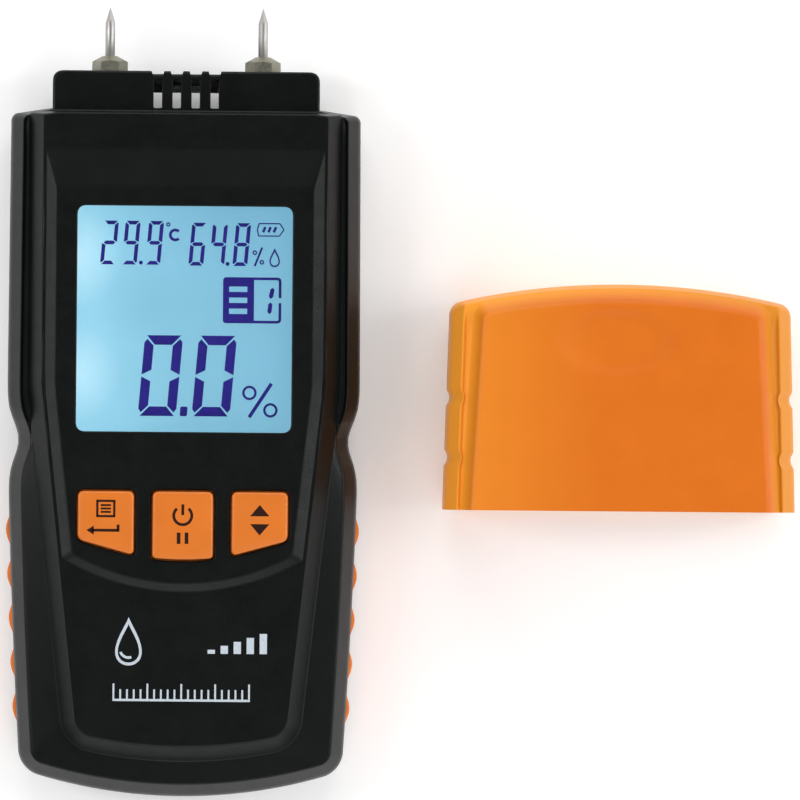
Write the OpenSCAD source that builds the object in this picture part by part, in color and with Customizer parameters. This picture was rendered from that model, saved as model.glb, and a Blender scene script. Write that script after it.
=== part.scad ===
// Two-pin moisture meter lying on its back, with its probe cap off beside it.
// +X is right across the face, +Y runs along the meter to the probe pins, +Z comes out of the face.
// The origin is on the back face, under the middle of the housing. Millimetres.

/* [Housing] */
// Half the housing's width at the shoulders
half_w_top = 31.0; // [30.5:0.1:31.5]
// Half the housing's width just above the waist
half_w_mid = 31.3; // [31:0.1:31.8]
// Thickness of the meter from back to face
body_t = 28; // [27.6:0.1:29]
// Height of the parting line above the back
split_z = 13; // [12.8:0.1:13.4]
// Wall thickness of both shells
wall = 2; // [1.8:0.1:2.2]
// How far the waist pulls in on each side
waist_depth = 1.9; // [1:0.1:2.2]
// Depth of the display and key recess in the face
recess_depth = 0.8; // [0.5:0.1:1]

/* [Probe head] */
// Half the head's width
head_half_w = 23.7; // [23.3:0.1:24]
// Distance from the middle of the meter to each pin
pin_x = 13.6; // [12.6:0.1:14.4]
// Radius of a pin's shank
pin_r = 0.85; // [0.8:0.01:0.95]
// How far a pin's tip stands above the head
pin_reach = 11.4; // [10:0.1:12]

/* [Display and keys] */
// Width of the display opening
window_w = 38.1; // [37:0.1:38.6]
// Height of the display opening
window_h = 40; // [39:0.1:40.4]
// How far the keys stand out of the recess
key_proud = 1; // [0.6:0.1:1.2]

/* [Cap] */
// Length of the probe cap
cap_len = 40.2; // [38:0.1:42]
// Where the middle of the cap lies beside the meter
cap_x = 77.5; // [70:0.5:90]
// Where the cap's rim lies along the meter
cap_y = -9.5; // [-30:0.5:20]

/* [Hidden] */
$fn = 48;
eps = 0.01;

// Lengthwise stations of the housing
shoulder_y = 61.2;
tail_y = -60.9;
tail_arch_r = 90;
arch_y = tail_y + tail_arch_r;
tail_corner_r = 5;
corner_n = 4;
arch_n = 3;
mid_y = 8;
taper = [0.019, 0.00035];
waist_y = 2.4;
waist_len = 4.4;
waist_steps = [2.3, 1.5, 1.1, 0.75, 0.35, -0.35, -0.75, -1.1, -1.5, -2.3];
waist_stations = [for (u = waist_steps) waist_y + u * waist_len];
side_stations = concat(waist_stations, [-23, -38]);

// Face levels
face_edge = 25.2;
face_taper = 0.108;
face_taper_y = 12;
face_bevel = 2.6;
face_arch_r = 81;
face_corner_r = 4;
face_top_y = 60.6;
rail_z = body_t - 6.5;
flank_z = body_t - 3;
recess_z = body_t - recess_depth;
roof_z = recess_z - 1.8;
back_chamfer = 3;

// Recess outline
recess_top_y = 53.8;
recess_floor_top_y = 47.4;
recess_arch_r = 41.7;
recess_arch_y = 17.1;
recess_rim = 0.6;
recess_slope = 2;

// Head
head_top_y = 67.9;
head_back_z = 3.5;
head_front_z = 22.5;
head_corner_r = 2;
pin_z = split_z;
vent_n = 4;
vent_pitch = 3.37;
vent_w = 1.5;
vent_y = [61.3, 66.4];
notch_w = 2.2;
notch_depth = 0.55;

// Display stack, from the roof down
window_y = 23.9;
window_r = 1.1;
lens_t = 1;
lens_z = roof_z - lens_t;
lcd_t = 2;
lcd_z = lens_z - 0.2 - lcd_t;
lcd_half_w = 20;
lcd_y = [1.3, 45.1];
frame_rim = 1.2;
frame_gap = 0.2;
board_t = 1.6;
board_top = lcd_z - 3;
board_z = board_top - board_t;
board_half_w = 25.2;
board_y = [-25.5, 50];
led_y = [9.9, 34.8];
led_w = 1.5;
connector_w = 2.2;

// Keys
key_top_y = -6.65;
key_arch_r = 51.9;
key_arch_y = 33.2;
key_side = [8.65, 18.6];
key_mid = 5.37;
key_corner_r = 1;
key_gap = 0.3;
key_flange = 0.8;
key_z = recess_z + key_proud;
key_base_z = roof_z - 1.5;
key_travel_gap = 0.15;
switch_y = -12;
switch_x = 13.6;
switch_w = 6;
switch_t = 3.2;
plunger_r = 1.6;
plunger_gap = 0.1;
key_travel = 0.4;

// Batteries and their bay
cell_r = 5.15;
cell_len = 43.6;
nub_r = 1.9;
nub_len = 0.9;
cell_pitch = 10.9;
cell_z = 7.6;
bay_half_w = 17.2;
bay_y = [-55.8, -5];
bay_wall = 1.2;
bay_roof_z = 13.1;
contact_t = 0.4;
spring_len = 5.4;
spring_r = [3.4, 2.2];
spring_wire_r = 0.3;
spring_turns = 3.5;

// Battery door
door_z = [0.4, 2];
door_hinge_y = -53.8;
door_hinge_z = 1.2;
door_hinge_r = 0.8;
door_half_w = 16.9;
door_top_y = -5.6;
door_gap = 0.3;
trunnion_r = 0.55;
trunnion_gap = 0.08;
trunnion_len = 1;

// Fasteners
case_screw_at = [[25.4, 54.8], [-25.4, 54.8], [23.6, -48.5], [-23.6, -48.5]];
board_screw_at = [[23.3, 47.6], [-23.3, 47.6], [22.6, -22.6], [-22.6, -22.6]];
boss_r = 3.9;
screw_head_r = 2.6;
screw_head_t = 1.8;
screw_shank_r = 1.35;
screw_clear = 0.05;
screw_seat_z = 5;
screw_tip_z = 20;
board_boss_r = 1.7;
board_screw_r = 0.9;

// Side grips
grip_pitch = 7.87;
grip_first_y = -13.8;
grip_bumps = 5;
grip_y = [-2.5, -50.5];
grip_z = [3.9, 12.5];
grip_pocket = 1;
grip_proud = 0.7;
grip_valley = 0.35;
grip_n = 40;

// Pin clamp
socket_r = 2.4;
socket_y = 54;
flange_r = 3.4;
flange_t = 1.6;
stub_r = 1.5;
stub_top_y = head_top_y + 1.7;
tail_r = 0.58;
tail_end_y = 57.5;
nut_flats = 5.5;
nut_t = 2.6;
nut_y = head_top_y + 0.15;
nut_roof = 0.7;
tip_len = 2.7;

// Cap
cap_half_w = [31.2, 30.2];
cap_arch_r = 127.6;
cap_corner_r = 2.6;
cap_side_n = 1;
cap_wall = 1.9;
cap_face = [26.3, 24.5];
cap_face_bevel = 2.2;
cap_face_top = 3;
cap_notch_r = 2;
cap_notch_depth = 0.55;
cap_notch_y = [9.2, 19.9];
cap_rib_len = 7;
cap_fit = 0.25;

black = [0.11, 0.12, 0.12];
orange = [0.9, 0.48, 0.12];
steel = [0.72, 0.72, 0.7];
brass = [0.72, 0.66, 0.44];

// ---------- Outlines ----------
// A half outline is the right-hand side of a shape symmetric about X = 0, as [x, y] from top to bottom.

function side_w(y) =
    let(s = mid_y - y)
    y > mid_y ? half_w_top + (half_w_mid - half_w_top) * (shoulder_y - y) / (shoulder_y - mid_y)
              : half_w_mid - taper[0] * s - taper[1] * s * s;

function housing_half_w(y) = side_w(y) - waist_depth * exp(-pow((y - waist_y) / waist_len, 2));

function face_half_w(y) = face_edge - face_taper * max(0, face_taper_y - y);

// Right half of an outline: a shoulder corner, a side through the given stations, a tail corner and an arch
function half_outline(half_w, inset, top_y, top_r, arch_r, corner_r, stations, shoulder_drop = 0) =
    let(
        corner_x = half_w(tail_y + 8) - corner_r,
        corner_y = arch_y - sqrt(pow(arch_r - corner_r, 2) - pow(corner_x, 2)),
        arch_a = asin(corner_x / (arch_r - corner_r)),
        small_r = max(corner_r - inset, 0.3),
        cx = corner_r > inset ? corner_x : half_w(tail_y + 8) - inset - small_r,
        side_top = top_y - inset - shoulder_drop - top_r
    )
    concat(
        [[min(head_half_w, half_w(top_y) - inset - top_r - 2), top_y - inset]],
        [for (i = [0 : 3])
            let(a = 90 - 30 * i)
            [half_w(side_top) - inset - top_r + top_r * cos(a), side_top + top_r * sin(a)]],
        [for (y = stations) [half_w(y) - inset, y]],
        [for (i = [0 : corner_n])
            let(a = -(90 - arch_a) * i / corner_n)
            [cx + small_r * cos(a), corner_y + small_r * sin(a)]],
        [for (i = [1 : arch_n])
            let(a = arch_a * (1 - i / (arch_n + 0.5)))
            [(arch_r - inset) * sin(a), arch_y - (arch_r - inset) * cos(a)]]
    );

function shell_outline(inset) =
    half_outline(function(y) housing_half_w(y), inset, shoulder_y, 1.4, tail_arch_r, tail_corner_r,
        side_stations, 0.9);

function face_outline(grow, top_y) =
    half_outline(function(y) face_half_w(y), -grow, top_y - grow, 0.6, face_arch_r, face_corner_r,
        [face_taper_y], 0.3);

// A plain slab with the full outline of which h is the right half
module slab(h, z) {
    translate([0, 0, z[0]])
        linear_extrude(z[1] - z[0])
            polygon(concat(h, [for (i = [len(h) - 1 : -1 : 0]) [-h[i][0], h[i][1]]]));
}

// A solid through half outlines at rising heights, mirrored in X = 0. Every outline has as many points.
module ladder(levels) {
    n = len(levels[0][1]);
    top = len(levels) - 1;
    function at(l, i, s) = (l * n + i) * 2 + s;
    points = [for (l = levels) for (p = l[1]) for (s = [1, -1]) [s * p[0], p[1], l[0]]];
    rungs = [for (i = [0 : n - 2]) each [
        [at(0, i, 0), at(0, i + 1, 0), at(0, i + 1, 1)],
        [at(0, i, 0), at(0, i + 1, 1), at(0, i, 1)],
        [at(top, i, 0), at(top, i + 1, 1), at(top, i + 1, 0)],
        [at(top, i, 0), at(top, i, 1), at(top, i + 1, 1)]
    ]];
    sides = [for (l = [0 : top - 1]) for (i = [0 : n - 2]) each [
        [at(l, i, 0), at(l + 1, i, 0), at(l + 1, i + 1, 0)],
        [at(l, i, 0), at(l + 1, i + 1, 0), at(l, i + 1, 0)],
        [at(l, i, 1), at(l + 1, i + 1, 1), at(l + 1, i, 1)],
        [at(l, i, 1), at(l, i + 1, 1), at(l + 1, i + 1, 1)]
    ]];
    ends = [for (l = [0 : top - 1]) each [
        [at(l, 0, 0), at(l, 0, 1), at(l + 1, 0, 1)],
        [at(l, 0, 0), at(l + 1, 0, 1), at(l + 1, 0, 0)],
        [at(l, n - 1, 0), at(l + 1, n - 1, 1), at(l, n - 1, 1)],
        [at(l, n - 1, 0), at(l + 1, n - 1, 0), at(l + 1, n - 1, 1)]
    ]];
    polyhedron(points = points, faces = [for (f = concat(rungs, sides, ends)) [f[0], f[2], f[1]]]);
}

// A round tube along points that lie in a plane of constant X
module wire(points, r, sides = 8) {
    n = len(points);
    function along(i) = points[min(i + 1, n - 1)] - points[max(i - 1, 0)];
    ring = [for (i = [0 : n - 1])
        let(t = along(i) / norm(along(i)), v = cross([1, 0, 0], t))
        for (k = [0 : sides - 1])
            points[i] + r * (cos(360 * k / sides) * [1, 0, 0] + sin(360 * k / sides) * v)];
    polyhedron(points = ring, faces = tube_faces(n, sides));
}

// Faces of a closed tube of n rings, each with the given number of sides
function tube_faces(n, sides) = concat(
    [for (i = [0 : n - 2]) for (k = [0 : sides - 1])
        let(a = i * sides + k, b = i * sides + (k + 1) % sides)
        each [[a, b + sides, a + sides], [a, b, b + sides]]],
    [for (k = [1 : sides - 2]) [0, k + 1, k]],
    [for (k = [1 : sides - 2]) let(e = (n - 1) * sides) [e, e + k, e + k + 1]]
);

module block(x, y, z) {
    translate([x[0], y[0], z[0]])
        cube([x[1] - x[0], y[1] - y[0], z[1] - z[0]]);
}

module rod_y(x, z, y, r) {
    translate([x, y[0], z]) rotate([-90, 0, 0]) cylinder(r = r, h = y[1] - y[0]);
}

module rod_z(at, z, r) {
    translate([at[0], at[1], z[0]]) cylinder(r = r, h = z[1] - z[0]);
}

module mirrored() {
    children();
    mirror([1, 0, 0]) children();
}

// A rectangle with round corners
module round_rect(w, h, r) {
    square([w - 2 * r, h], center = true);
    square([w, h - 2 * r], center = true);
    for (x = [-1, 1], y = [-1, 1])
        translate([x * (w / 2 - r), y * (h / 2 - r)]) circle(r = r);
}

// ---------- Housing shells ----------

module head_block(z, inset = 0) {
    y0 = 55;
    h = head_top_y - inset - y0;
    translate([0, y0 + h / 2, z[0]])
        linear_extrude(z[1] - z[0])
            round_rect(2 * (head_half_w - inset), h, head_corner_r - min(inset, 1.2));
}

module vents(z) {
    for (i = [0 : vent_n - 1]) {
        x = (i - (vent_n - 1) / 2) * vent_pitch;
        block([x - vent_w / 2, x + vent_w / 2], vent_y, z);
    }
}

module vent_notches() {
    for (i = [0 : vent_n - 1]) {
        x = (i - (vent_n - 1) / 2) * vent_pitch;
        block([x - notch_w / 2, x + notch_w / 2], [head_top_y - notch_depth, head_top_y + 1], [0, body_t]);
    }
}

module stub_holes() {
    for (x = [-pin_x, pin_x]) rod_y(x, pin_z, [head_top_y - 4, head_top_y + 1], stub_r + 0.1);
}

function recess_half(inset, floor_y) =
    let(
        r = recess_arch_r - inset,
        x0 = face_half_w(-18) - recess_rim - inset,
        end_y = recess_arch_y - sqrt(r * r - x0 * x0)
    )
    concat(
        [for (y = [floor_y, face_taper_y, end_y]) [face_half_w(y) - recess_rim - inset, y]],
        [for (i = [1 : 5])
            let(x = x0 * (1 - i / 5.5))
            [x, recess_arch_y - sqrt(r * r - x * x)]]
    );

module face_recess() {
    ladder([
        [recess_z, recess_half(recess_slope, recess_floor_top_y)],
        [body_t + 0.2, recess_half(-0.5, recess_top_y + 1.6)]
    ]);
}

// Key outlines, grown all round by g
module side_key_shape(g) {
    x0 = key_side[0] - g;
    x1 = key_side[1] + g;
    r = key_arch_r + g;
    polygon([
        [x0, key_top_y + g],
        [x1, key_top_y + g],
        [x1, key_arch_y - sqrt(r * r - x1 * x1)],
        [x0, key_arch_y - sqrt(r * r - x0 * x0)]
    ]);
}

module mid_key_shape(g) {
    x1 = key_mid + g;
    r = key_arch_r + g;
    polygon(concat(
        [[-x1, key_top_y + g], [x1, key_top_y + g]],
        [for (i = [0 : 8])
            let(x = x1 * (1 - i / 4))
            [x, key_arch_y - sqrt(r * r - x * x)]]
    ));
}

module key_shapes(g) {
    mirrored() side_key_shape(g);
    mid_key_shape(g);
}

module front_bosses() {
    for (p = case_screw_at) rod_z(p, [split_z, rail_z + 0.4], boss_r);
    for (p = board_screw_at) rod_z(p, [board_top, flank_z - 0.4], board_boss_r);
}

module front_pilots() {
    for (p = case_screw_at) rod_z(p, [split_z - 1, screw_tip_z + 0.6], screw_shank_r + screw_clear);
    for (p = board_screw_at) rod_z(p, [board_top - 1, board_top + 4.2], board_screw_r + screw_clear);
}

module front_housing() {
    color(black)
    difference() {
        union() {
            difference() {
                union() {
                    ladder([
                        [split_z, shell_outline(0)],
                        [rail_z, shell_outline(0)],
                        [flank_z, shell_outline(2.3)]
                    ]);
                    ladder([
                        [flank_z - 1, face_outline(face_bevel, face_top_y)],
                        [flank_z + 0.4, face_outline(face_bevel - 0.3, face_top_y)],
                        [body_t, face_outline(0, face_top_y)]
                    ]);
                    head_block([split_z, head_front_z]);
                }
                slab(shell_outline(wall), [split_z - 1, rail_z - 1]);
                slab(shell_outline(wall + 2.7), [rail_z - 1.5, flank_z - 2]);
                slab(face_outline(-1.6, face_top_y), [rail_z, roof_z]);
                head_block([split_z - 1, head_front_z - wall], wall);
            }
            front_bosses();
        }
        face_recess();
        translate([0, window_y, roof_z - 1])
            linear_extrude(recess_depth + 4) round_rect(window_w, window_h, window_r);
        translate([0, 0, roof_z - 1]) linear_extrude(recess_depth + 4) key_shapes(key_gap);
        front_pilots();
        vents([head_front_z - wall - 1, head_front_z + 1]);
        vent_notches();
        stub_holes();
    }
}

module bay_walls() {
    block([-bay_half_w - bay_wall, bay_half_w + bay_wall],
        [bay_y[0] - bay_wall - 0.6, bay_y[1] + bay_wall], [wall - 0.1, bay_roof_z + bay_wall]);
}

module bay_space() {
    block([-bay_half_w, bay_half_w], bay_y, [wall - 1, bay_roof_z]);
    // wire slots through the upper end wall
    for (x = [-cell_pitch, cell_pitch])
        block([x - 1, x + 1], [bay_y[1] - 1, bay_y[1] + bay_wall + 1], [11, bay_roof_z]);
}

module door_opening() {
    block([-bay_half_w, bay_half_w], [door_hinge_y - door_hinge_r - door_gap, door_top_y + door_gap],
        [-1, wall + 0.1]);
    // latch notch and finger scoop
    block([-6, 6], [door_top_y - 1, door_top_y + 2], [-1, wall + 0.1]);
    rod_z([0, door_top_y + 0.4], [-1, 1], 4);
    // trunnion holes
    translate([-bay_half_w - trunnion_len - trunnion_gap, door_hinge_y, door_hinge_z])
        rotate([0, 90, 0])
            cylinder(r = trunnion_r + trunnion_gap, h = 2 * (bay_half_w + trunnion_len + trunnion_gap));
}

module grip_shape(outer, inner, y) {
    // the strip between two offsets of the housing's side
    polygon(concat(
        [for (i = [0 : grip_n]) let(v = y[0] + (y[1] - y[0]) * i / grip_n) [outer(v), v]],
        [for (i = [grip_n : -1 : 0]) let(v = y[0] + (y[1] - y[0]) * i / grip_n) [inner(v), v]]
    ));
}

// The pocket's inner face is a straight line between its two ends
function pocket_x(y) =
    let(u = (grip_y[0] - y) / (grip_y[0] - grip_y[1]))
    side_w(grip_y[0]) * (1 - u) + side_w(grip_y[1]) * u - grip_pocket;

module grip_pocket() {
    gap = 0.05;
    ends = [grip_y[0] + gap, grip_y[1] - gap];
    translate([0, 0, grip_z[0] - gap])
        linear_extrude(grip_z[1] - grip_z[0] + 2 * gap)
            polygon([
                [half_w_mid + 2, ends[0]],
                [pocket_x(ends[0]) - gap, ends[0]],
                [pocket_x(ends[1]) - gap, ends[1]],
                [half_w_mid + 2, ends[1]]
            ]);
}

module rear_housing() {
    color(black)
    difference() {
        union() {
            difference() {
                union() {
                    ladder([
                        [0, shell_outline(back_chamfer)],
                        [back_chamfer, shell_outline(0)],
                        [split_z, shell_outline(0)]
                    ]);
                    head_block([head_back_z, split_z]);
                }
                slab(shell_outline(wall + 1.6), [wall, 5]);
                slab(shell_outline(wall), [back_chamfer + 0.6, split_z + 1]);
                head_block([head_back_z + wall, split_z + 1], wall);
            }
            bay_walls();
            for (p = case_screw_at) rod_z(p, [wall - 0.1, split_z], boss_r);
        }
        bay_space();
        door_opening();
        for (p = case_screw_at) {
            rod_z(p, [-1, screw_seat_z], screw_head_r + 0.3);
            rod_z(p, [0, split_z + 1], screw_shank_r + 0.25);
        }
        vents([0, head_back_z + wall + 1]);
        vent_notches();
        stub_holes();
        mirrored() grip_pocket();
    }
}

// ---------- Side grips ----------

function grip_wave(y) =
    let(u = (y - grip_first_y) / grip_pitch, last = 1 - grip_bumps)
    u > 0.5 || u < last - 0.5 ? -grip_valley
        : -grip_valley + (grip_proud + grip_valley) * pow((1 + cos(360 * u)) / 2, 0.8);

module grip() {
    color(orange)
    translate([0, 0, grip_z[0]])
        linear_extrude(grip_z[1] - grip_z[0])
            grip_shape(function(v) housing_half_w(v) + grip_wave(v),
                function(v) pocket_x(v), grip_y);
}

// ---------- Display ----------

module display_window() {
    color([0.8, 0.9, 1, 0.4])
    translate([0, window_y, lens_z]) linear_extrude(lens_t) round_rect(window_w + 3.4, window_h + 3.4, 1.5);
}

module lcd_frame() {
    z = [board_top, lens_z - 0.1];
    color("white")
    difference() {
        block([-lcd_half_w - frame_gap - frame_rim, lcd_half_w + frame_gap + frame_rim],
            [lcd_y[0] - frame_gap - frame_rim, lcd_y[1] + frame_gap + frame_rim], z);
        block([-lcd_half_w - frame_gap, lcd_half_w + frame_gap],
            [lcd_y[0] - frame_gap, lcd_y[1] + frame_gap], [z[0] - 1, z[1] + 1]);
    }
}

module lcd_panel() {
    color([0.5, 0.75, 0.85]) block([-lcd_half_w, lcd_half_w], lcd_y, [lcd_z, lcd_z + lcd_t]);
}

module backlight_guide() {
    color([0.95, 0.97, 1])
    block([-lcd_half_w + led_w + 0.1, lcd_half_w - 0.2], [lcd_y[0] + connector_w + 0.6, lcd_y[1] - 0.2],
        [board_top + 0.05, lcd_z - 0.05]);
}

module backlight_leds() {
    color("lightyellow")
    for (y = led_y)
        block([-lcd_half_w, -lcd_half_w + led_w], [y - 1.5, y + 1.5], [board_top, board_top + 2]);
}

module lcd_connector() {
    color([0.85, 0.55, 0.6])
    block([-lcd_half_w + 1, lcd_half_w - 1], [lcd_y[0] + 0.1, lcd_y[0] + 0.1 + connector_w],
        [board_top, lcd_z]);
}

// ---------- Electronics ----------

module main_board() {
    color([0.06, 0.35, 0.18])
    difference() {
        block([-board_half_w, board_half_w], board_y, [board_z, board_top]);
        for (p = board_screw_at) rod_z(p, [board_z - 1, board_top + 1], board_screw_r + 0.2);
    }
}

module microcontroller() {
    color([0.08, 0.08, 0.09])
    block([-6, 6], [14, 26], [board_z - 1.6, board_z]);
    color(steel)
    for (i = [-5 : 5]) {
        for (s = [-1, 1]) {
            block([s * 6.7 - 0.7, s * 6.7 + 0.7], [20 + i - 0.2, 20 + i + 0.2], [board_z - 0.7, board_z]);
            block([i - 0.2, i + 0.2], [20 + s * 6.7 - 0.7, 20 + s * 6.7 + 0.7], [board_z - 0.7, board_z]);
        }
    }
}

module board_components() {
    // chip resistors and capacitors in two rows, a crystal can and an electrolytic capacitor
    color([0.55, 0.45, 0.3])
    for (i = [0 : 6]) {
        block([-18 + 5 * i, -16 + 5 * i], [31, 32.2], [board_z - 0.8, board_z]);
        block([-18 + 5 * i, -16 + 5 * i], [7, 8.2], [board_z - 0.8, board_z]);
    }
    color(steel) block([-17, -9.5], [17.5, 21], [board_z - 2, board_z]);
    color([0.1, 0.1, 0.12]) rod_z([14, 18], [board_z - 3.2, board_z], 3);
}

module switch_bodies() {
    color([0.12, 0.12, 0.12])
    for (x = [-switch_x, 0, switch_x])
        difference() {
            block([x - switch_w / 2, x + switch_w / 2], [switch_y - switch_w / 2, switch_y + switch_w / 2],
                [board_top, board_top + switch_t]);
            rod_z([x, switch_y], [board_top + 1, board_top + switch_t + 1], plunger_r + plunger_gap);
        }
}

module switch_plunger(x) {
    color("ivory")
    rod_z([x, switch_y], [board_top + 1 + key_travel + 0.2, key_base_z], plunger_r);
}

// ---------- Keys ----------

module key(x) {
    z1 = key_z;
    color(orange) {
        translate([0, 0, key_base_z])
            linear_extrude(z1 - key_base_z - 0.3)
                offset(r = key_corner_r) offset(delta = -key_corner_r) children(0);
        translate([0, 0, z1 - 0.3 - eps])
            linear_extrude(0.3 + eps)
                offset(r = key_corner_r) offset(delta = -key_corner_r - 0.3) children(0);
        translate([0, 0, key_base_z])
            linear_extrude(roof_z - key_travel_gap - key_base_z) offset(delta = key_flange) children(0);
    }
}

// ---------- Air sensor ----------

module sensor_board() {
    color([0.35, 0.27, 0.12]) block([-6.5, 9.6], [64.25, head_top_y - wall], [10, 11]);
}

module humidity_sensor() {
    color([0.25, 0.45, 0.75]) block([-4, 4], [64.4, 65.5], [11, 13.4]);
}

module sensor_leads() {
    color("dimgray")
    for (x = [8, 9.2])
        wire([[x, 64.8, 10], [x, 64.8, 9.7], [x, 64.2, 9], [x, 63, 8.6], [x, 60, 8.5], [x, 56, 9.4],
              [x, 52, 12], [x, 49.6, 14.6], [x, 48.8, 16.2], [x, 48.6, 17], [x, 48.6, board_z]], 0.35, 6);
}

// ---------- Pins ----------

module pin(s) {
    shank_y = nut_y + nut_t + 0.05;
    tip_y = head_top_y + pin_reach;
    color(steel)
    translate([s * pin_x, 0, 0]) {
        rod_y(0, pin_z, [tail_end_y, shank_y], tail_r);
        rod_y(0, pin_z, [shank_y, tip_y - tip_len], pin_r);
        translate([0, tip_y - tip_len, pin_z]) rotate([-90, 0, 0])
            cylinder(r1 = pin_r, r2 = 0.04, h = tip_len);
    }
}

module pin_nut(s) {
    color(brass)
    translate([s * pin_x, nut_y, pin_z]) rotate([-90, 0, 0])
    difference() {
        intersection() {
            cylinder(r = nut_flats / 2 / cos(30), h = nut_t, $fn = 6);
            // a cone takes the hexagon's top corners off, down to a collar round the pin
            union() {
                cylinder(r = nut_flats, h = nut_t - 1);
                translate([0, 0, nut_t - 1]) cylinder(r1 = nut_flats / 2 + 0.35, r2 = 1.3, h = 1);
            }
        }
        translate([0, 0, -1]) cylinder(r = stub_r + 0.06, h = nut_t - nut_roof + 1);
        cylinder(r = tail_r + 0.06, h = nut_t + 1);
    }
}

module pin_socket(s) {
    color(brass)
    translate([s * pin_x, 0, 0])
    difference() {
        union() {
            rod_y(0, pin_z, [socket_y, head_top_y - wall - flange_t], socket_r);
            rod_y(0, pin_z, [head_top_y - wall - flange_t, head_top_y - wall], flange_r);
            rod_y(0, pin_z, [head_top_y - wall, stub_top_y], stub_r);
        }
        rod_y(0, pin_z, [tail_end_y - 0.5, stub_top_y + 1], tail_r + 0.05);
    }
}

module probe_lead(s) {
    color(s < 0 ? "black" : "firebrick")
    wire([[s * pin_x, socket_y, pin_z], [s * pin_x, 52.6, pin_z], [s * pin_x, 50.8, 13.2],
          [s * pin_x, 49.4, 14], [s * pin_x, 48.5, 15.4], [s * pin_x, 48.2, 16.8],
          [s * pin_x, 48.2, board_z]], 0.6);
}

// ---------- Batteries ----------

// A cell whose raised contact faces +Y when up is 1 and -Y when it is -1
module cell(x, up) {
    lower = bay_y[0] + contact_t + (up > 0 ? spring_len : 0);
    translate([x, up > 0 ? lower : lower + cell_len + nub_len, cell_z])
        rotate([up > 0 ? -90 : 90, 0, 0]) {
            color([0.12, 0.2, 0.45]) cylinder(r = cell_r, h = cell_len);
            color(steel) translate([0, 0, cell_len]) cylinder(r = nub_r, h = nub_len);
        }
}

// A conical compression spring along +Z, wide end first
module spring() {
    sides = 6;
    steps = 14;
    n = round(spring_turns * steps) + 1;
    rings = [for (i = [0 : n - 1])
        let(
            u = i / (n - 1),
            a = 360 * i / steps,
            r = spring_r[0] + (spring_r[1] - spring_r[0]) * u,
            c = [r * cos(a), r * sin(a), spring_wire_r + (spring_len - 2 * spring_wire_r) * u],
            out = [cos(a), sin(a), 0]
        )
        for (k = [0 : sides - 1])
            c + spring_wire_r * (cos(360 * k / sides) * out + sin(360 * k / sides) * [0, 0, 1])];
    polyhedron(points = rings, faces = tube_faces(n, sides));
}

module battery_springs() {
    color(steel) {
        for (x = [-cell_pitch, cell_pitch])
            translate([x, bay_y[0] + contact_t, cell_z]) rotate([-90, 0, 0]) spring();
        translate([0, bay_y[1] - contact_t, cell_z]) rotate([90, 0, 0]) spring();
    }
}

module battery_contacts() {
    w = 4.2;
    color(steel)
    for (x = [-cell_pitch, 0, cell_pitch]) {
        block([x - w, x + w], [bay_y[0], bay_y[0] + contact_t], [cell_z - w, cell_z + w]);
        block([x - w, x + w], [bay_y[1] - contact_t, bay_y[1]], [cell_z - w, cell_z + w + 0.6]);
    }
}

module battery_lead(s, tint) {
    x = s * cell_pitch;
    color(tint)
    wire([[x, bay_y[1], 11.9], [x, -4.4, 11.9], [x, -3.2, 12.2], [x, -2.1, 13.2], [x, -1.5, 14.6],
          [x, -1.4, 16.6], [x, -1.4, board_z]], 0.5);
}

module battery_door() {
    color(black) {
        block([-door_half_w, door_half_w], [door_hinge_y, door_top_y], door_z);
        translate([-door_half_w - trunnion_len, door_hinge_y, door_hinge_z]) rotate([0, 90, 0]) {
            cylinder(r = trunnion_r, h = 2 * (door_half_w + trunnion_len));
            translate([0, 0, trunnion_len]) cylinder(r = door_hinge_r, h = 2 * door_half_w);
        }
        // latch tongue
        block([-5.6, 5.6], [door_top_y - 1, door_top_y + 1.7], door_z);
        // ribs that steady the cells
        for (x = [-cell_pitch / 2, cell_pitch / 2])
            block([x - 0.4, x + 0.4], [-46, -14], [door_z[1] - eps, door_z[1] + 0.9]);
    }
}

// ---------- Fasteners ----------

module screw(at, z, head_r, head_t, shank_r, tip_z) {
    color([0.2, 0.2, 0.21])
    difference() {
        union() {
            rod_z(at, [z - head_t, z], head_r);
            rod_z(at, [z, tip_z], shank_r);
        }
        for (a = [0, 90])
            translate([at[0], at[1], z - head_t]) rotate([0, 0, a])
                cube([head_r * 1.3, 0.5, head_t], center = true);
    }
}

module case_screws() {
    for (p = case_screw_at) screw(p, screw_seat_z, screw_head_r, screw_head_t, screw_shank_r, screw_tip_z);
}

module board_screws() {
    for (p = board_screw_at) screw(p, board_z, 1.7, 1.1, board_screw_r, board_top + 3.8);
}

// ---------- Cap ----------

// Half the cap's width at a distance from its rim
function cap_side(y) = cap_half_w[0] + (cap_half_w[1] - cap_half_w[0]) * y / cap_len;

// Right half of the cap in its own frame, rim at Y = 0 and arched end at +Y
function cap_outline(half_w, inset, top_inset, rim_y) =
    let(
        w0 = half_w[0] - inset,
        w1 = half_w[1] - inset,
        r = cap_arch_r - top_inset,
        arch_y = cap_len - cap_arch_r,
        corner_r = max(cap_corner_r - inset, 0.5),
        cx = w1 - corner_r,
        cy = arch_y + sqrt(pow(r - corner_r, 2) - cx * cx),
        a1 = acos(cx / (r - corner_r))
    )
    concat(
        [for (i = [1 : 4]) let(a = 90 + (a1 - 90) * i / 4.5) [r * cos(a), arch_y + r * sin(a)]],
        [for (i = [0 : corner_n])
            let(a = a1 * (1 - i / corner_n))
            [cx + corner_r * cos(a), cy + corner_r * sin(a)]],
        [for (i = [1 : cap_side_n]) let(u = i / cap_side_n) [w1 + (w0 - w1) * u, cy + (rim_y - cy) * u]]
    );

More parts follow.
